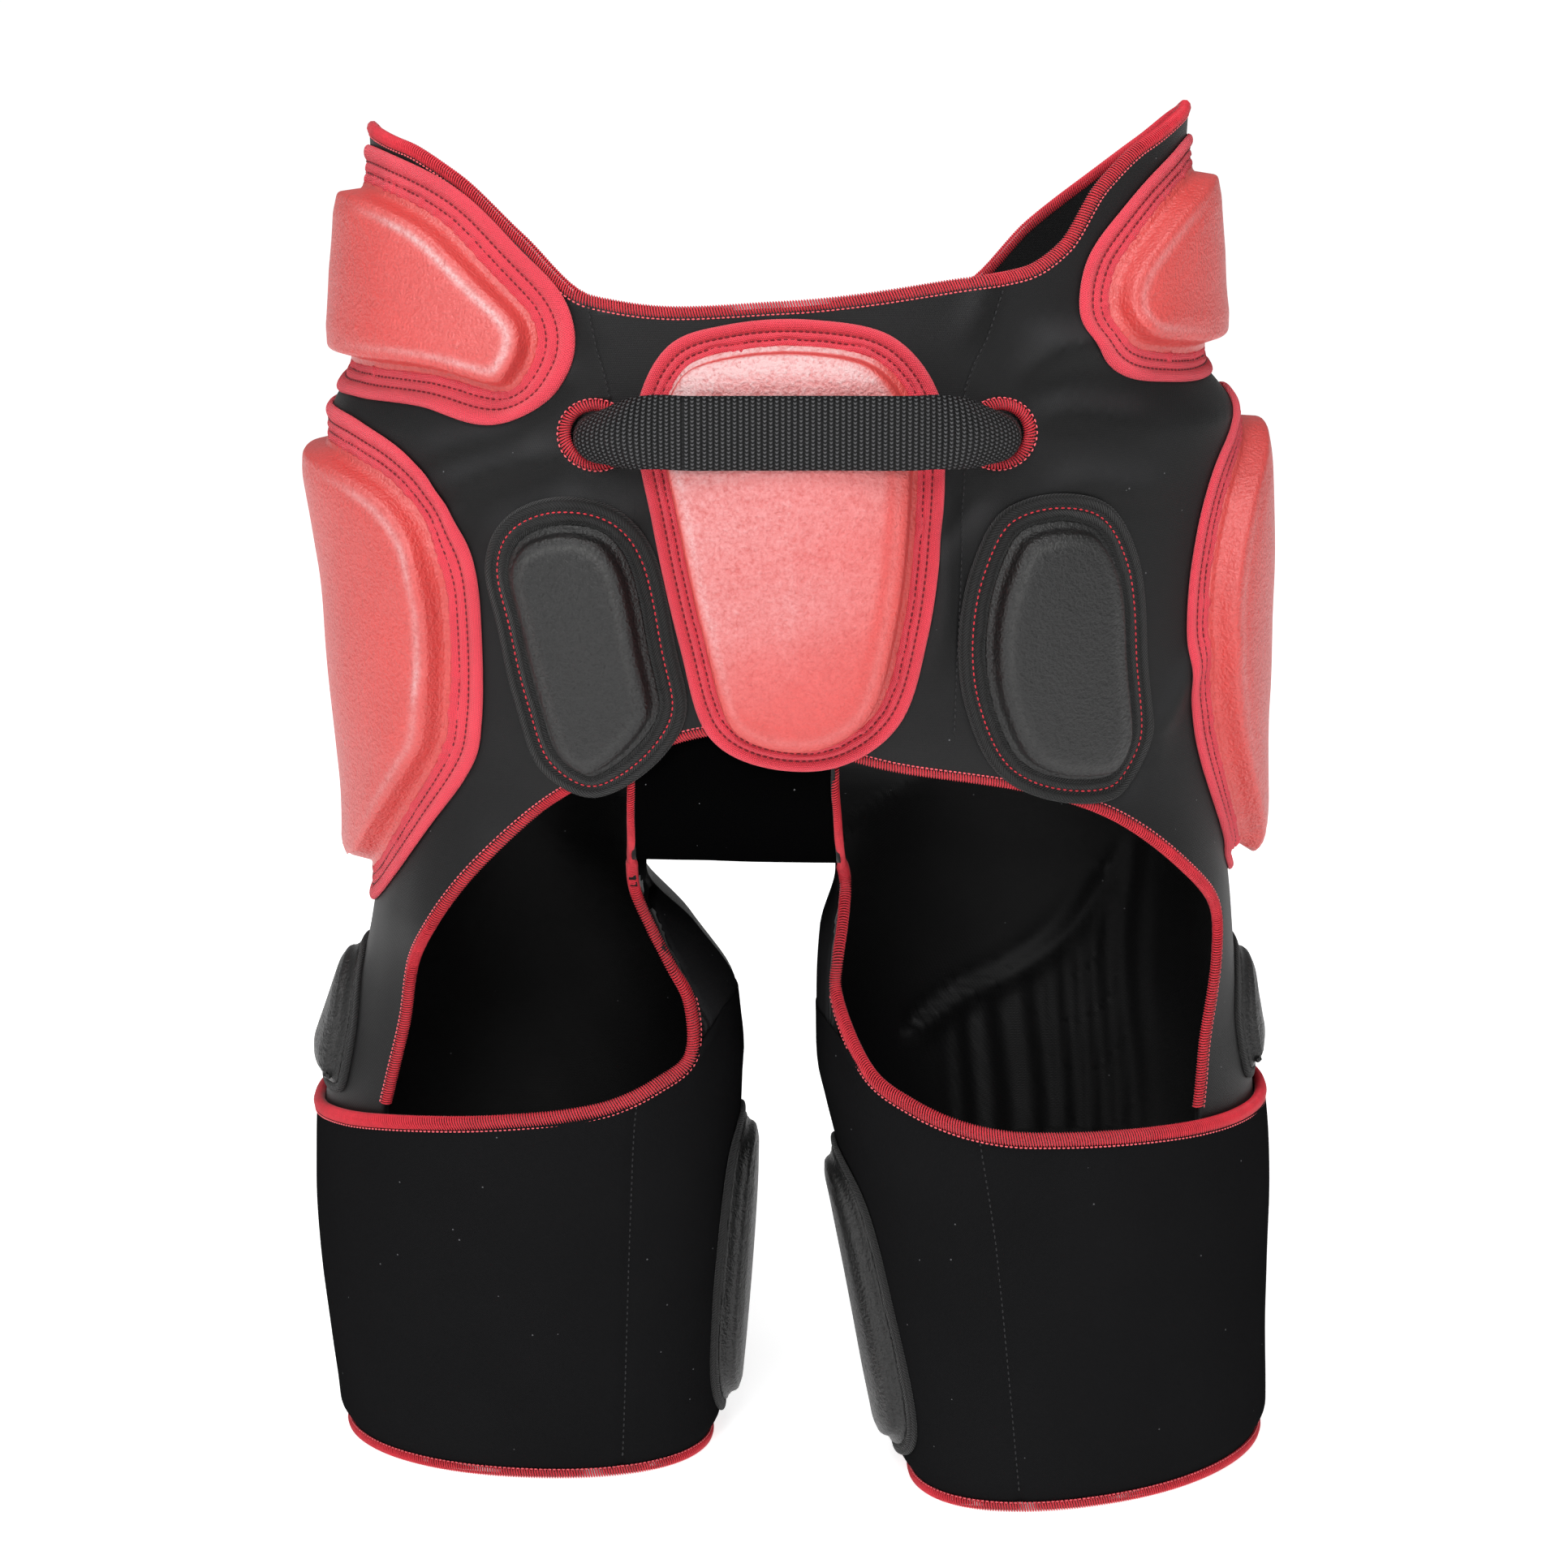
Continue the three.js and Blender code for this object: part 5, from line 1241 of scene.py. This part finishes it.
def foam_pad(name, table, ground, border, thickness, look, painted_highlight, bevel=1.0, lean=0.0, count=180):
    """Moulded foam: a thin flange, a steep wall, a small round edge, a broad bevel and a nearly flat face."""
    outline = pad_outline(table, ground, count)
    ground = charted(ground, outline)
    top = thickness
    wall = [(border + 0.6, 0.4), (border - 0.8, 1.0), (border - 1.0, 2.4), (border - 0.4, 3.1),
            (border + 1.0, 3.5),
            (border + 1.8, 4.2), (border + 2.3, 0.5 * top), (border + 2.9, top - 3.6)]
    outlines, lifts = [], []
    current, reached = outline, 0.0
    for inset, lift in wall:
        current = drawn_in(current, ground, inset - reached)
        reached = inset
        outlines.append(current)
        lifts.append(np.full(count, lift))
    face = np.array([
        [0, top - 3.6], [0.35, top - 2.7], [1.0, top - 2.0], [2.2 * bevel, top - 1.5],
        [5 * bevel, top - 0.95],
        [8.5 * bevel, top - 0.28], [10.0 * bevel, top - 0.08], [13, top], [45, top + 0.9],
    ])
    rim, middle = current, current.mean(0)
    shares = 1 - (np.arange(1, 37) / 37) ** 1.7
    inner = middle + (rim - middle) * shares[:, None, None]
    flat = inner.reshape(-1, 2)
    away = distance_to(ground(*rim.T)[0], ground(*flat.T)[0]).reshape(inner.shape[:2])
    rise = read(face, 1, away)
    for _ in range(5):
        beside_it = np.roll(rise, 1, 1)[8:-1] + np.roll(rise, -1, 1)[8:-1]
        rise[8:-1] = (rise[8:-1] * 2 + rise[7:-2] + rise[9:] + beside_it) / 6
    below = [rim + (middle - rim) * share for share in (0.95, 0.6, 0.2)]
    grid = rings_on(ground, below + outlines + list(inner), [0.4] * 3 + lifts + list(rise), lean)
    piece = closed_pad(name, grid)
    inside = np.concatenate([np.zeros((len(below) + len(outlines), count)), away])
    # Painted highlight on the face and along the bevel.
    paint_highlight(piece, np.append(inside.ravel(), [0.0, away.max()]), *painted_highlight)
    dress(piece, look, name)


# Direction the painted highlight on the foam faces: up, forwards and a little left, towards the lamps.
HIGHLIGHT_SIDE = unit(np.array([-0.25, -0.82, 0.50]))


def paint_highlight(piece, away, on_face, on_bevel):
    """Marks the painted highlight of a moulded skin: where it turns up and forwards to the light, and along
    its bevel.
    """
    mesh = piece.data
    normal = np.zeros(len(mesh.vertices) * 3, np.float32)
    mesh.vertices.foreach_get("normal", normal)
    normal = normal.reshape(-1, 3)
    turned = smooth_step(normal @ HIGHLIGHT_SIDE, 0.74, 0.99)
    ridge = np.exp(-((away - 4.4) / 1.6) ** 2) * smooth_step(-normal[:, 1], 0.35, 0.8)
    painted_highlight = on_face * turned + on_bevel * ridge * (0.35 + 0.65 * turned)
    mark(piece, "painted_highlight", painted_highlight)


def closed_pad(name, grid):
    """Rings round a pad as one closed skin."""
    rows, columns = grid.shape[:2]
    points = np.concatenate([grid.reshape(-1, 3), grid[0].mean(0, keepdims=True),
                             grid[-1].mean(0, keepdims=True)])
    r, c = [a.ravel() for a in np.meshgrid(np.arange(rows - 1), np.arange(columns), indexing="ij")]
    quads = np.stack([r * columns + c, r * columns + (c + 1) % columns,
                      (r + 1) * columns + (c + 1) % columns, (r + 1) * columns + c], -1)
    last = np.arange(columns)
    first_cap = np.stack([(last + 1) % columns, last, np.full(columns, rows * columns)], -1)
    last_cap = np.stack([(rows - 1) * columns + last, (rows - 1) * columns + (last + 1) % columns,
                         np.full(columns, rows * columns + 1)], -1)
    faces = np.concatenate([quads[:, [0, 1, 2]], quads[:, [0, 2, 3]], first_cap, last_cap])
    a, b, c = (points[faces[:, i]] for i in range(3))
    if (a * np.cross(b, c)).sum() < 0:
        faces = faces[:, ::-1]
    return mesh_from(name, points, faces)


def wander(count, length, seed, sizes=(3, 9)):
    """Uneven values round a closed path, about one high."""
    chance = np.random.default_rng(seed)
    at = np.linspace(0, 2 * math.pi, count, endpoint=False)
    total = 0
    for _ in range(9):
        waves = max(1, int(length / chance.uniform(*sizes)))
        total = total + np.sin(at * waves + chance.uniform(0, 6.3))
    return total / 3


def sewn_border(name, table, ground, profile, look, seed, spread=0.0, pleat=0.25, waver=0.35, count=420):
    """A sewn border lofted from its section: (distance from the outer edge, height)."""
    outline = pad_outline(table, ground, count)
    ground = charted(ground, outline)
    outline = drawn_in(outline, ground, -spread)
    inner_edge = max(point[0] for point in profile)
    profile = curve_through([(inset * (inner_edge + spread) / inner_edge, lift) for inset, lift in profile],
                            24)
    round_length = length_of(ground(*outline.T)[0])
    pleats = np.abs(wander(count, round_length, seed, (2.2, 5)))
    sway = wander(count, round_length, seed + 1, (12, 40))
    width = max(p[0] for p in profile)
    outlines, lifts = [], []
    coarse = [drawn_in(outline, ground, d) for d in np.linspace(0, width, 5)]
    for distance, lift in profile:
        share = np.clip(distance / width, 0, 1)
        inner = smooth_step(share, 0.45, 0.75)
        at = np.clip((distance + waver * inner * sway) / width * 4, 0, 4)
        low = np.minimum(at.astype(int), 3)
        t = (at - low)[:, None]
        n = np.arange(count)
        rings = np.array(coarse)
        outlines.append(rings[low, n] * (1 - t) + rings[low + 1, n] * t)
        lifts.append(lift * (1 + inner * pleat * pleats))
    grid = rings_on(ground, outlines, lifts)
    piece = grid_piece(name, grid, close_rows=True, close_columns=True)
    face_out(piece)
    dress(piece, look, name)
    return outline, ground


def face_out(piece):
    """Turns a closed skin the right way out."""
    mesh = piece.data
    co = np.zeros(len(mesh.vertices) * 3)
    mesh.vertices.foreach_get("co", co)
    mesh.calc_loop_triangles()
    index = np.zeros(len(mesh.loop_triangles) * 3, np.int32)
    mesh.loop_triangles.foreach_get("vertices", index)
    a, b, c = (co.reshape(-1, 3)[index.reshape(-1, 3)[:, i]] for i in range(3))
    if (a * np.cross(b, c)).sum() < 0:
        mesh.flip_normals()


def stitch_row(name, outline, ground, inset, lift, pitch, look, sizes):
    ring = drawn_in(outline, ground, inset)
    base, normal, fold = ground(ring[:, 0], ring[:, 1])
    line = base + normal * (fold + lift)[:, None]
    points, facing = spaced(line, normal, pitch, True)
    piece = grow(name, STITCHES, look, points, facing, True, sizes)
    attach(piece, "root")


RED_BORDER = [(0.4, 0.1), (0.0, 0.9), (0.5, 2.1), (1.9, 2.8), (3.3, 2.6), (4.3, 1.9), (4.8, 1.3),
              (5.3, 1.8), (6.4, 2.3), (7.5, 2.0), (8.0, 1.4), (8.5, 1.9), (9.7, 2.4), (11.0, 2.2),
              (11.6, 1.3), (11.4, 0.3)]
BLACK_BORDER = [(0.4, 0.1), (0.0, 0.9), (0.6, 2.0), (2.2, 2.6), (4.2, 2.4), (5.4, 1.7), (5.9, 1.2),
                (6.5, 1.7), (7.8, 2.3), (10.0, 2.4), (11.6, 1.9), (12.4, 1.2), (12.2, 0.3)]
NARROW_BORDER = [(0.3, 0.1), (0.0, 0.9), (0.5, 1.9), (2.0, 2.4), (4.0, 2.2), (5.6, 1.6), (6.2, 0.9),
                 (6.0, 0.2)]
RED_STITCH = {"Length": 0.0021, "Width": 0.0009, "Height": 0.0007}
BLACK_STITCH = {"Length": 0.0019, "Width": 0.0008, "Height": 0.0007}
SEAM_STITCH = {"Length": 0.0019, "Width": 0.0008, "Height": 0.0009}


def build_pads():
    red_pads = [
        ("front", "", FRONT, on_front, FRONT_THICKNESS, 0.9, -0.10, 0.5),
        ("upper_hip", "_left", UPPER_LEFT, on_side, 16, 1.0, 0.0, 5.0),
        ("upper_hip", "_right", UPPER_RIGHT, on_side, 16, 1.0, 0.0, 2.5),
        ("lower_hip", "_left", LOWER_LEFT, on_side, 16, 1.0, 0.0, 4.0),
        ("lower_hip", "_right", LOWER_RIGHT, on_side, 16, 1.0, 0.0, 1.5),
    ]
    for seed, (place, side, table, ground, thickness, bevel, lean, spread) in enumerate(red_pads):
        # Strength of the painted highlight: on the face, then along the bevel.
        painted_highlight = (0.95, 0.35) if place == "front" else (0.1, 0.8)
        foam_pad(place + "_pad" + side, table, ground, 11, thickness, "red_foam", painted_highlight, bevel, lean)
        outline, ground = sewn_border(place + "_trim" + side, table, ground, RED_BORDER, "red_tape",
                                      10 + seed, spread)
        for row, (inset, lift) in enumerate(((4.8, 1.7), (8.0, 1.9))):
            stitch_row(f"{place}_stitches{side}_{row}", outline, ground, inset * (11.6 + spread) / 11.6, lift,
                       2.7,
                       "dark_red_thread", RED_STITCH)
    left_ground = on_thigh(LEFT_THIGH, LEFT_TURN, 0, True)
    right_ground = on_thigh(RIGHT_THIGH, RIGHT_TURN, 0, True)
    left_cuff = on_thigh(LEFT_THIGH, LEFT_TURN, CUFF_GAP + CUFF_WALL, False)
    right_cuff = on_thigh(RIGHT_THIGH, RIGHT_TURN, CUFF_GAP + CUFF_WALL, False)
    black_pads = [
        ("groin", "_left", GROIN_LEFT, on_front, 12, 12, 0.8),
        ("groin", "_right", GROIN_RIGHT, on_front, 12, 12, 0.8),
        ("outer_thigh", "_left", OUTER_THIGH_LEFT, left_ground, 6, 9, 0.7),
        ("outer_thigh", "_right", OUTER_THIGH_RIGHT, right_ground, 6, 9, 0.7),
        ("inner_thigh", "_left", INNER_THIGH_LEFT, left_cuff, 6, 9, 0.7),
        ("inner_thigh", "_right", INNER_THIGH_RIGHT, right_cuff, 6, 9, 0.7),
    ]
    for seed, (place, side, table, ground, border, thickness, bevel) in enumerate(black_pads):
        wide = border == 12
        # Painted highlight on the black foam too: weak on the face, stronger along the bevel.
        foam_pad(place + "_pad" + side, table, ground, border, thickness, "black_foam", (0.12, 0.5), bevel,
                 count=180 if wide else 140)
        outline, ground = sewn_border(place + "_tape" + side, table, ground,
                                      BLACK_BORDER if wide else NARROW_BORDER,
                                      "black_tape", 30 + seed, pleat=0.12, waver=0.3,
                                      count=420 if wide else 300)
        stitch_row(f"{place}_stitches{side}", outline, ground, 5.9 if wide else 3.0, 1.6 if wide else 2.2,
                   2.7,
                   "red_thread" if wide else "black_thread", BLACK_STITCH)


# Thigh cuffs

def cuff_dent(p):
    return 0.5 * ripple(p, 110, 21) + 0.12 * ripple(p, 30, 22)


def cuff(name, table, turn, edge, blend_from, blend_to, seam):
    """A thick soft tube that turns in over its hem and thins out into the inner thigh above."""
    columns, rows = 260, 44
    angle = np.linspace(-180, 180, columns, endpoint=False)
    u = np.radians(angle) * HIP_RADIUS
    top = read_round(edge, angle) * HEIGHT
    inner_side = smooth_step(angle, blend_from, blend_from + 18) * smooth_step(-angle, -blend_to,
                                                                               -blend_to + 18)
    share = np.concatenate([np.linspace(0, 0.08, 8, endpoint=False), np.linspace(0.08, 1, rows - 8)])

    def skin(offset):
        layers = []
        for t in share:
            z = 4.5 + t * (top - 4.5)
            base, normal, _ = on_thigh(table, turn, 0, False)(u, z)
            curl = -4.0 * smooth_step(-z, -16, -4) ** 1.5
            fade = inner_side * smooth_step(z, top - 30, top - 2)
            groove = -0.9 * np.exp(-((angle - seam[0] - (seam[1] - seam[0]) * t) / 1.5) ** 2)
            dent = cuff_dent(base) * smooth_step(z, 8, 40)
            lift = offset * (1 - 0.85 * fade) + curl + dent + groove * (offset > 1)
            layers.append(base + normal * np.broadcast_to(lift, z.shape)[:, None])
        return np.array(layers)

    outer = skin(CUFF_GAP + CUFF_WALL)
    inner = skin(CUFF_GAP)
    middle = (outer[-1:] + inner[-1:]) / 2
    rim = middle + np.array([0, 0, 0.8])
    foot = (outer[:1] + inner[:1]) / 2 - np.array([0, 0, 0.5])
    grid = np.concatenate([outer, rim, inner[::-1], foot])
    piece = grid_piece(name, grid, close_rows=True, close_columns=True)
    face_out(piece)
    dress(piece, "neoprene", name)
    z = np.linspace(12, read_round(edge, seam[1]) * HEIGHT - 5, 120)
    turns = seam[0] + (seam[1] - seam[0]) * (z - 4.5) / (z[-1] + 0.5)
    base, normal, _ = on_thigh(table, turn, CUFF_GAP + CUFF_WALL, False)(np.radians(turns) * HIP_RADIUS, z)
    line = base + normal * (cuff_dent(base) * smooth_step(z, 8, 40) - 0.9)[:, None]
    seam_row(name + "_seam", line, normal)
    return piece


def seam_row(name, line, facing):
    """A row of small stitches along an open line."""
    points, face = spaced(line, facing, 2.8, False)
    row = grow(name, STITCHES, "black_thread", points, face, False, SEAM_STITCH)
    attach(row, "root")


# Webbing belt

def belt():
    """One loop of webbing: over the front pad, through both slots, and round inside the back."""
    half = STRAP_THICKNESS / 2

    def skin(x):
        return front_point(np.array([float(x)]), np.array([float(SLOT_LEVEL)]))[0, 1]

    belly = front_point(np.array([0.0]), np.array([float(STRAP_LEVEL)]))[0, 1]
    face = belly - FRONT_THICKNESS - 0.8 - 0.3 - STRAP_THICKNESS
    across = [(share * HALF_WIDTH, face - 0.6, 0.0, STRAP_LEVEL) for share in (-0.2, -0.05, 0.12, 0.26)]

    def through(x, side):
        s = skin(x)
        return [(x - side * 26, face + 2.5, 0.1, STRAP_LEVEL),
                (x - side * 15, face + 7.5, 0.6, STRAP_LEVEL - 1.5),
                (x - side * 6, (face + s) / 2 + 1, 1.2, STRAP_LEVEL - 4),
                (x - side * 0.5, s - 5.5, 1.7, SLOT_LEVEL),
                (x + side * 0.5, s + 1.5, 2.0, SLOT_LEVEL), (x + side * 1.5, s + 9, 2.0, SLOT_LEVEL),
                (x + side * 7, s + 18, 1.3, SLOT_LEVEL), (x + side * 18, s + 24, 0.5, SLOT_LEVEL)]

    inside = []
    for k in range(15):
        angle = np.array([48 + k * (264 / 14)])
        x, y = hip_plan(angle, np.array([SLOT_LEVEL + STRAP_WIDTH / 2.0]))
        p = np.array([[x[0], y[0], SLOT_LEVEL + STRAP_WIDTH / 2.0]])
        normal = unit(slope_of(hip_reach, p) * [1, 1, 0])
        p = p - normal * (WALL + 0.3 + half + 0.9)
        inside.append((p[0, 0], p[0, 1], 0.0, SLOT_LEVEL - STRAP_BACK_DROP * math.sin(math.pi * k / 14)))
    stops = across + through(SLOT_RIGHT, 1) + inside + through(SLOT_LEFT, -1)[::-1]
    route = curve_through(np.array([[x, y, curl * 20, z] for x, y, curl, z in stops]), 420, closed=True)
    shares = np.concatenate([np.linspace(-1, 1, 13), np.linspace(1, -1, 13)])
    sides = np.concatenate([np.full(13, 1.0), np.full(13, -1.0)])
    sides[[0, 12, 13, 25]] *= 0.55
    ahead = np.roll(route, -1, 0) - np.roll(route, 1, 0)
    along = unit(ahead[:, :2])
    out = np.stack([along[:, 1], -along[:, 0]], -1)
    grid = []
    for (x, y, curl, z), o in zip(route, out):
        curl = max(curl / 20, 0.02)
        radius = STRAP_WIDTH / 2 / curl
        turn = shares * STRAP_WIDTH / 2 / radius
        middle = radius * (1 - math.cos(min(curl, math.pi / 2)))
        rise = (radius + sides * half) * np.sin(turn)
        bulge = (radius + sides * half) * np.cos(turn) - radius + middle
        grid.append(np.stack([x + o[0] * bulge, y + o[1] * bulge, z + rise], -1))
    piece = grid_piece("belt_strap", np.array(grid), close_rows=True, close_columns=True)
    face_out(piece)
    dress(piece, "webbing", "belt_strap")
    return piece


# Overlocked edges

def front_path(line, lift=-WALL / 2):
    base = front_point(line[:, 0], line[:, 1])
    placed, normal = on_body(base, np.broadcast_to(lift, len(base)))
    return placed, normal


def build_edges():
    angle = np.arange(-180, 180, 1.5)
    z = read_round(WAIST_EDGE, angle) * HEIGHT
    x, y = hip_plan(angle, z)
    line, facing = on_body(settle(np.stack([x, y, z], -1)), np.full(len(z), -WALL / 2))
    overlock("waist_edge", "waist_binding", line, facing, closed=True, half_width=2.6, half_thickness=2.0,
             side=1)
    line, facing = front_path(panel_line)
    overlock("front_panel_edge", "front_panel_binding", line, facing, half_width=2.2, half_thickness=1.9,
             side=-1)
    sides = (
        ("left", LEFT_THIGH, LEFT_TURN, LEFT_CUFF_EDGE, left_line, np.arange(-205, 50, 3.0), 1),
        ("right", RIGHT_THIGH, RIGHT_TURN, RIGHT_CUFF_EDGE, right_line, np.arange(205, -50, -3.0), -1),
    )
    for name, table, turn, edge, inner, angles, side in sides:
        level = read_round(edge, angles) * HEIGHT
        on_top = thigh_point(table, turn, CUFF_GAP + CUFF_WALL / 2 + 0.6)
        on_cuff = on_top(np.radians(angles) * HIP_RADIUS, level)
        up, _ = front_path(inner[4:])
        above_edge = np.array([[0, 6], [0, 12], [0, 18], [0, 24]])
        hidden, _ = front_path(inner[-1] + above_edge, np.array([-3.0, -6, -8, -9]))
        line = curve_through(np.concatenate([on_cuff[::4], up[::5], hidden]), 420)
        facing = unit(slope_of(body_reach, line, 1.0))
        overlock("thigh_edge_" + name, "thigh_binding_" + name, line, facing, half_width=3.0,
                 half_thickness=2.2, side=side,
                 breadth=lambda points: 1 - 0.4 * smooth_step(points[:, 2], 215, 245))
        turns = np.arange(-180, 180, 3.0)
        on_hem = thigh_point(table, turn, CUFF_GAP + CUFF_WALL / 2 - 2.4)
        foot = on_hem(np.radians(turns) * HIP_RADIUS, np.full(len(turns), 2.6))
        outward = unit(slope_of(lambda p: thigh_reach(table, turn, p), foot) * [1, 1, 0])
        overlock("hem_edge_" + name, "hem_binding_" + name, foot, outward, closed=True, half_width=2.1,
                 half_thickness=1.8,
                 slant=0.25, side=-1)
    for name, place in (("left", SLOT_LEFT), ("right", SLOT_RIGHT)):
        turns = np.linspace(0, 2 * math.pi, 60, endpoint=False)
        ring = np.stack([place + SLOT_HALF_WIDTH * np.cos(turns),
                         SLOT_LEVEL + SLOT_HALF_HEIGHT * np.sin(turns)], -1)
        line, facing = front_path(ring, -0.6)
        overlock("slot_edge_" + name, "slot_binding_" + name, line, facing, closed=True, half_width=2.4,
                 half_thickness=2.1,
                 side=1)


def seam_distance(points):
    """Signed distance to the nearest front seam, above zero towards the middle."""
    left = -beside(LEFT_SEAM, points[:, 0], points[:, 2])
    right = beside(RIGHT_SEAM, points[:, 0], points[:, 2])
    near = np.where(points[:, 0] < 5, left, right)
    return np.where(points[:, 1] < 0, np.clip(near, -SEAM_REACH, SEAM_REACH), -SEAM_REACH)


LEFT_SEAM = np.array([[-79, 526], [-75.6, 508], [-72.4, 498], [-70, 487]])[::-1]
RIGHT_SEAM = np.array([[88, 530], [82, 512], [76.6, 502], [73, 492], [73, 455], [70, 352]])[::-1]


FOLD_LIGHT = np.array([-0.25, 0, 0.97])


def paint_fold_light_and_shade(shell, points):
    """Painted light and shade on the knit: lighter where a fold turns up, darker where it turns down, on
    faces turned sideways and inside the legs.
    """
    count = len(points)
    normal = np.zeros(count * 6, np.float32)
    shell.data.vertices.foreach_get("normal", normal)
    normal = normal.reshape(-1, 3)[:count]
    turned = (normal - unit(slope_of(body_reach, points, 1.0))) @ FOLD_LIGHT
    sideways = np.abs(normal[:, 0])
    outside = np.clip(1 + 5.5 * turned, 0.4, 2.8) * (1 - 0.72 * smooth_step(sideways, 0.5, 0.95))
    inside = 0.3 + 0.35 * smooth_step(points[:, 0], -20, 60)
    mark(shell, "lit", np.concatenate([outside, inside]))


def paint_gusset_shadow(gusset, points):
    """Painted deep shadow between the legs; lower down, on the inner faces of the thighs, the knit painted
    lighter again.
    """
    level = points[:, 2]
    outside = 0.22 + 1.6 * smooth_step(-level, -276, -262) + 0.8 * smooth_step(-level, -262, -215)
    inside = np.full(len(points), 0.5)
    mark(gusset, "lit", np.concatenate([outside, inside]))
    mark(gusset, "seam", np.full(2 * len(points), SEAM_REACH * METRE))


def build_shell():
    step = 3.5
    points, faces = cell_net(np.array([-228, -135, SHELL_END - 8]), np.array([228, 135, 622]), step)
    for field in (below_waist, lambda p: p[:, 2] - SHELL_END, off_slots, off_openings):
        points, faces = cut(points, faces, field, step)
    shell_points, shell_faces = cut(points, faces, lambda p: -in_gusset(p), step)
    gusset_points, gusset_faces = cut(points, faces, in_gusset, step)
    shell = walled("knit_shell", shell_points, shell_faces, np.zeros(len(shell_points)), WALL,
                   inside_slack(shell_points))
    paint_fold_light_and_shade(shell, shell_points)
    mark(shell, "seam", np.tile(seam_distance(shell_points) * METRE, 2))
    from_edges = np.minimum(np.abs(left_of_gusset(gusset_points)), np.abs(right_of_gusset(gusset_points)))
    recess = -8 * smooth_step(-under_panel(gusset_points), -42, -4) * smooth_step(from_edges, 1, 14)
    gusset = walled("gusset", gusset_points, gusset_faces, recess, WALL)
    paint_gusset_shadow(gusset, gusset_points)
    for side, seam_line in (("left", LEFT_SEAM), ("right", RIGHT_SEAM)):
        line, facing = front_path(even(seam_line, 60), 0.1)
        seam_row("front_seam_" + side, line, facing)
    cloths = (
        (shell, "knit", "body_shell", shell_points, shell_faces),
        (gusset, "gusset", "crotch_gusset", gusset_points, gusset_faces),
    )
    for piece, look, node_name, points, faces in cloths:
        dress(piece, look, node_name)


studio()
build_shell()
build_pads()
cuff("thigh_cuff_left", LEFT_THIGH, LEFT_TURN, LEFT_CUFF_EDGE, 48, 150, (30, 30))
cuff("thigh_cuff_right", RIGHT_THIGH, RIGHT_TURN, RIGHT_CUFF_EDGE, -150, -48, (-23, -18))
belt()
build_edges()
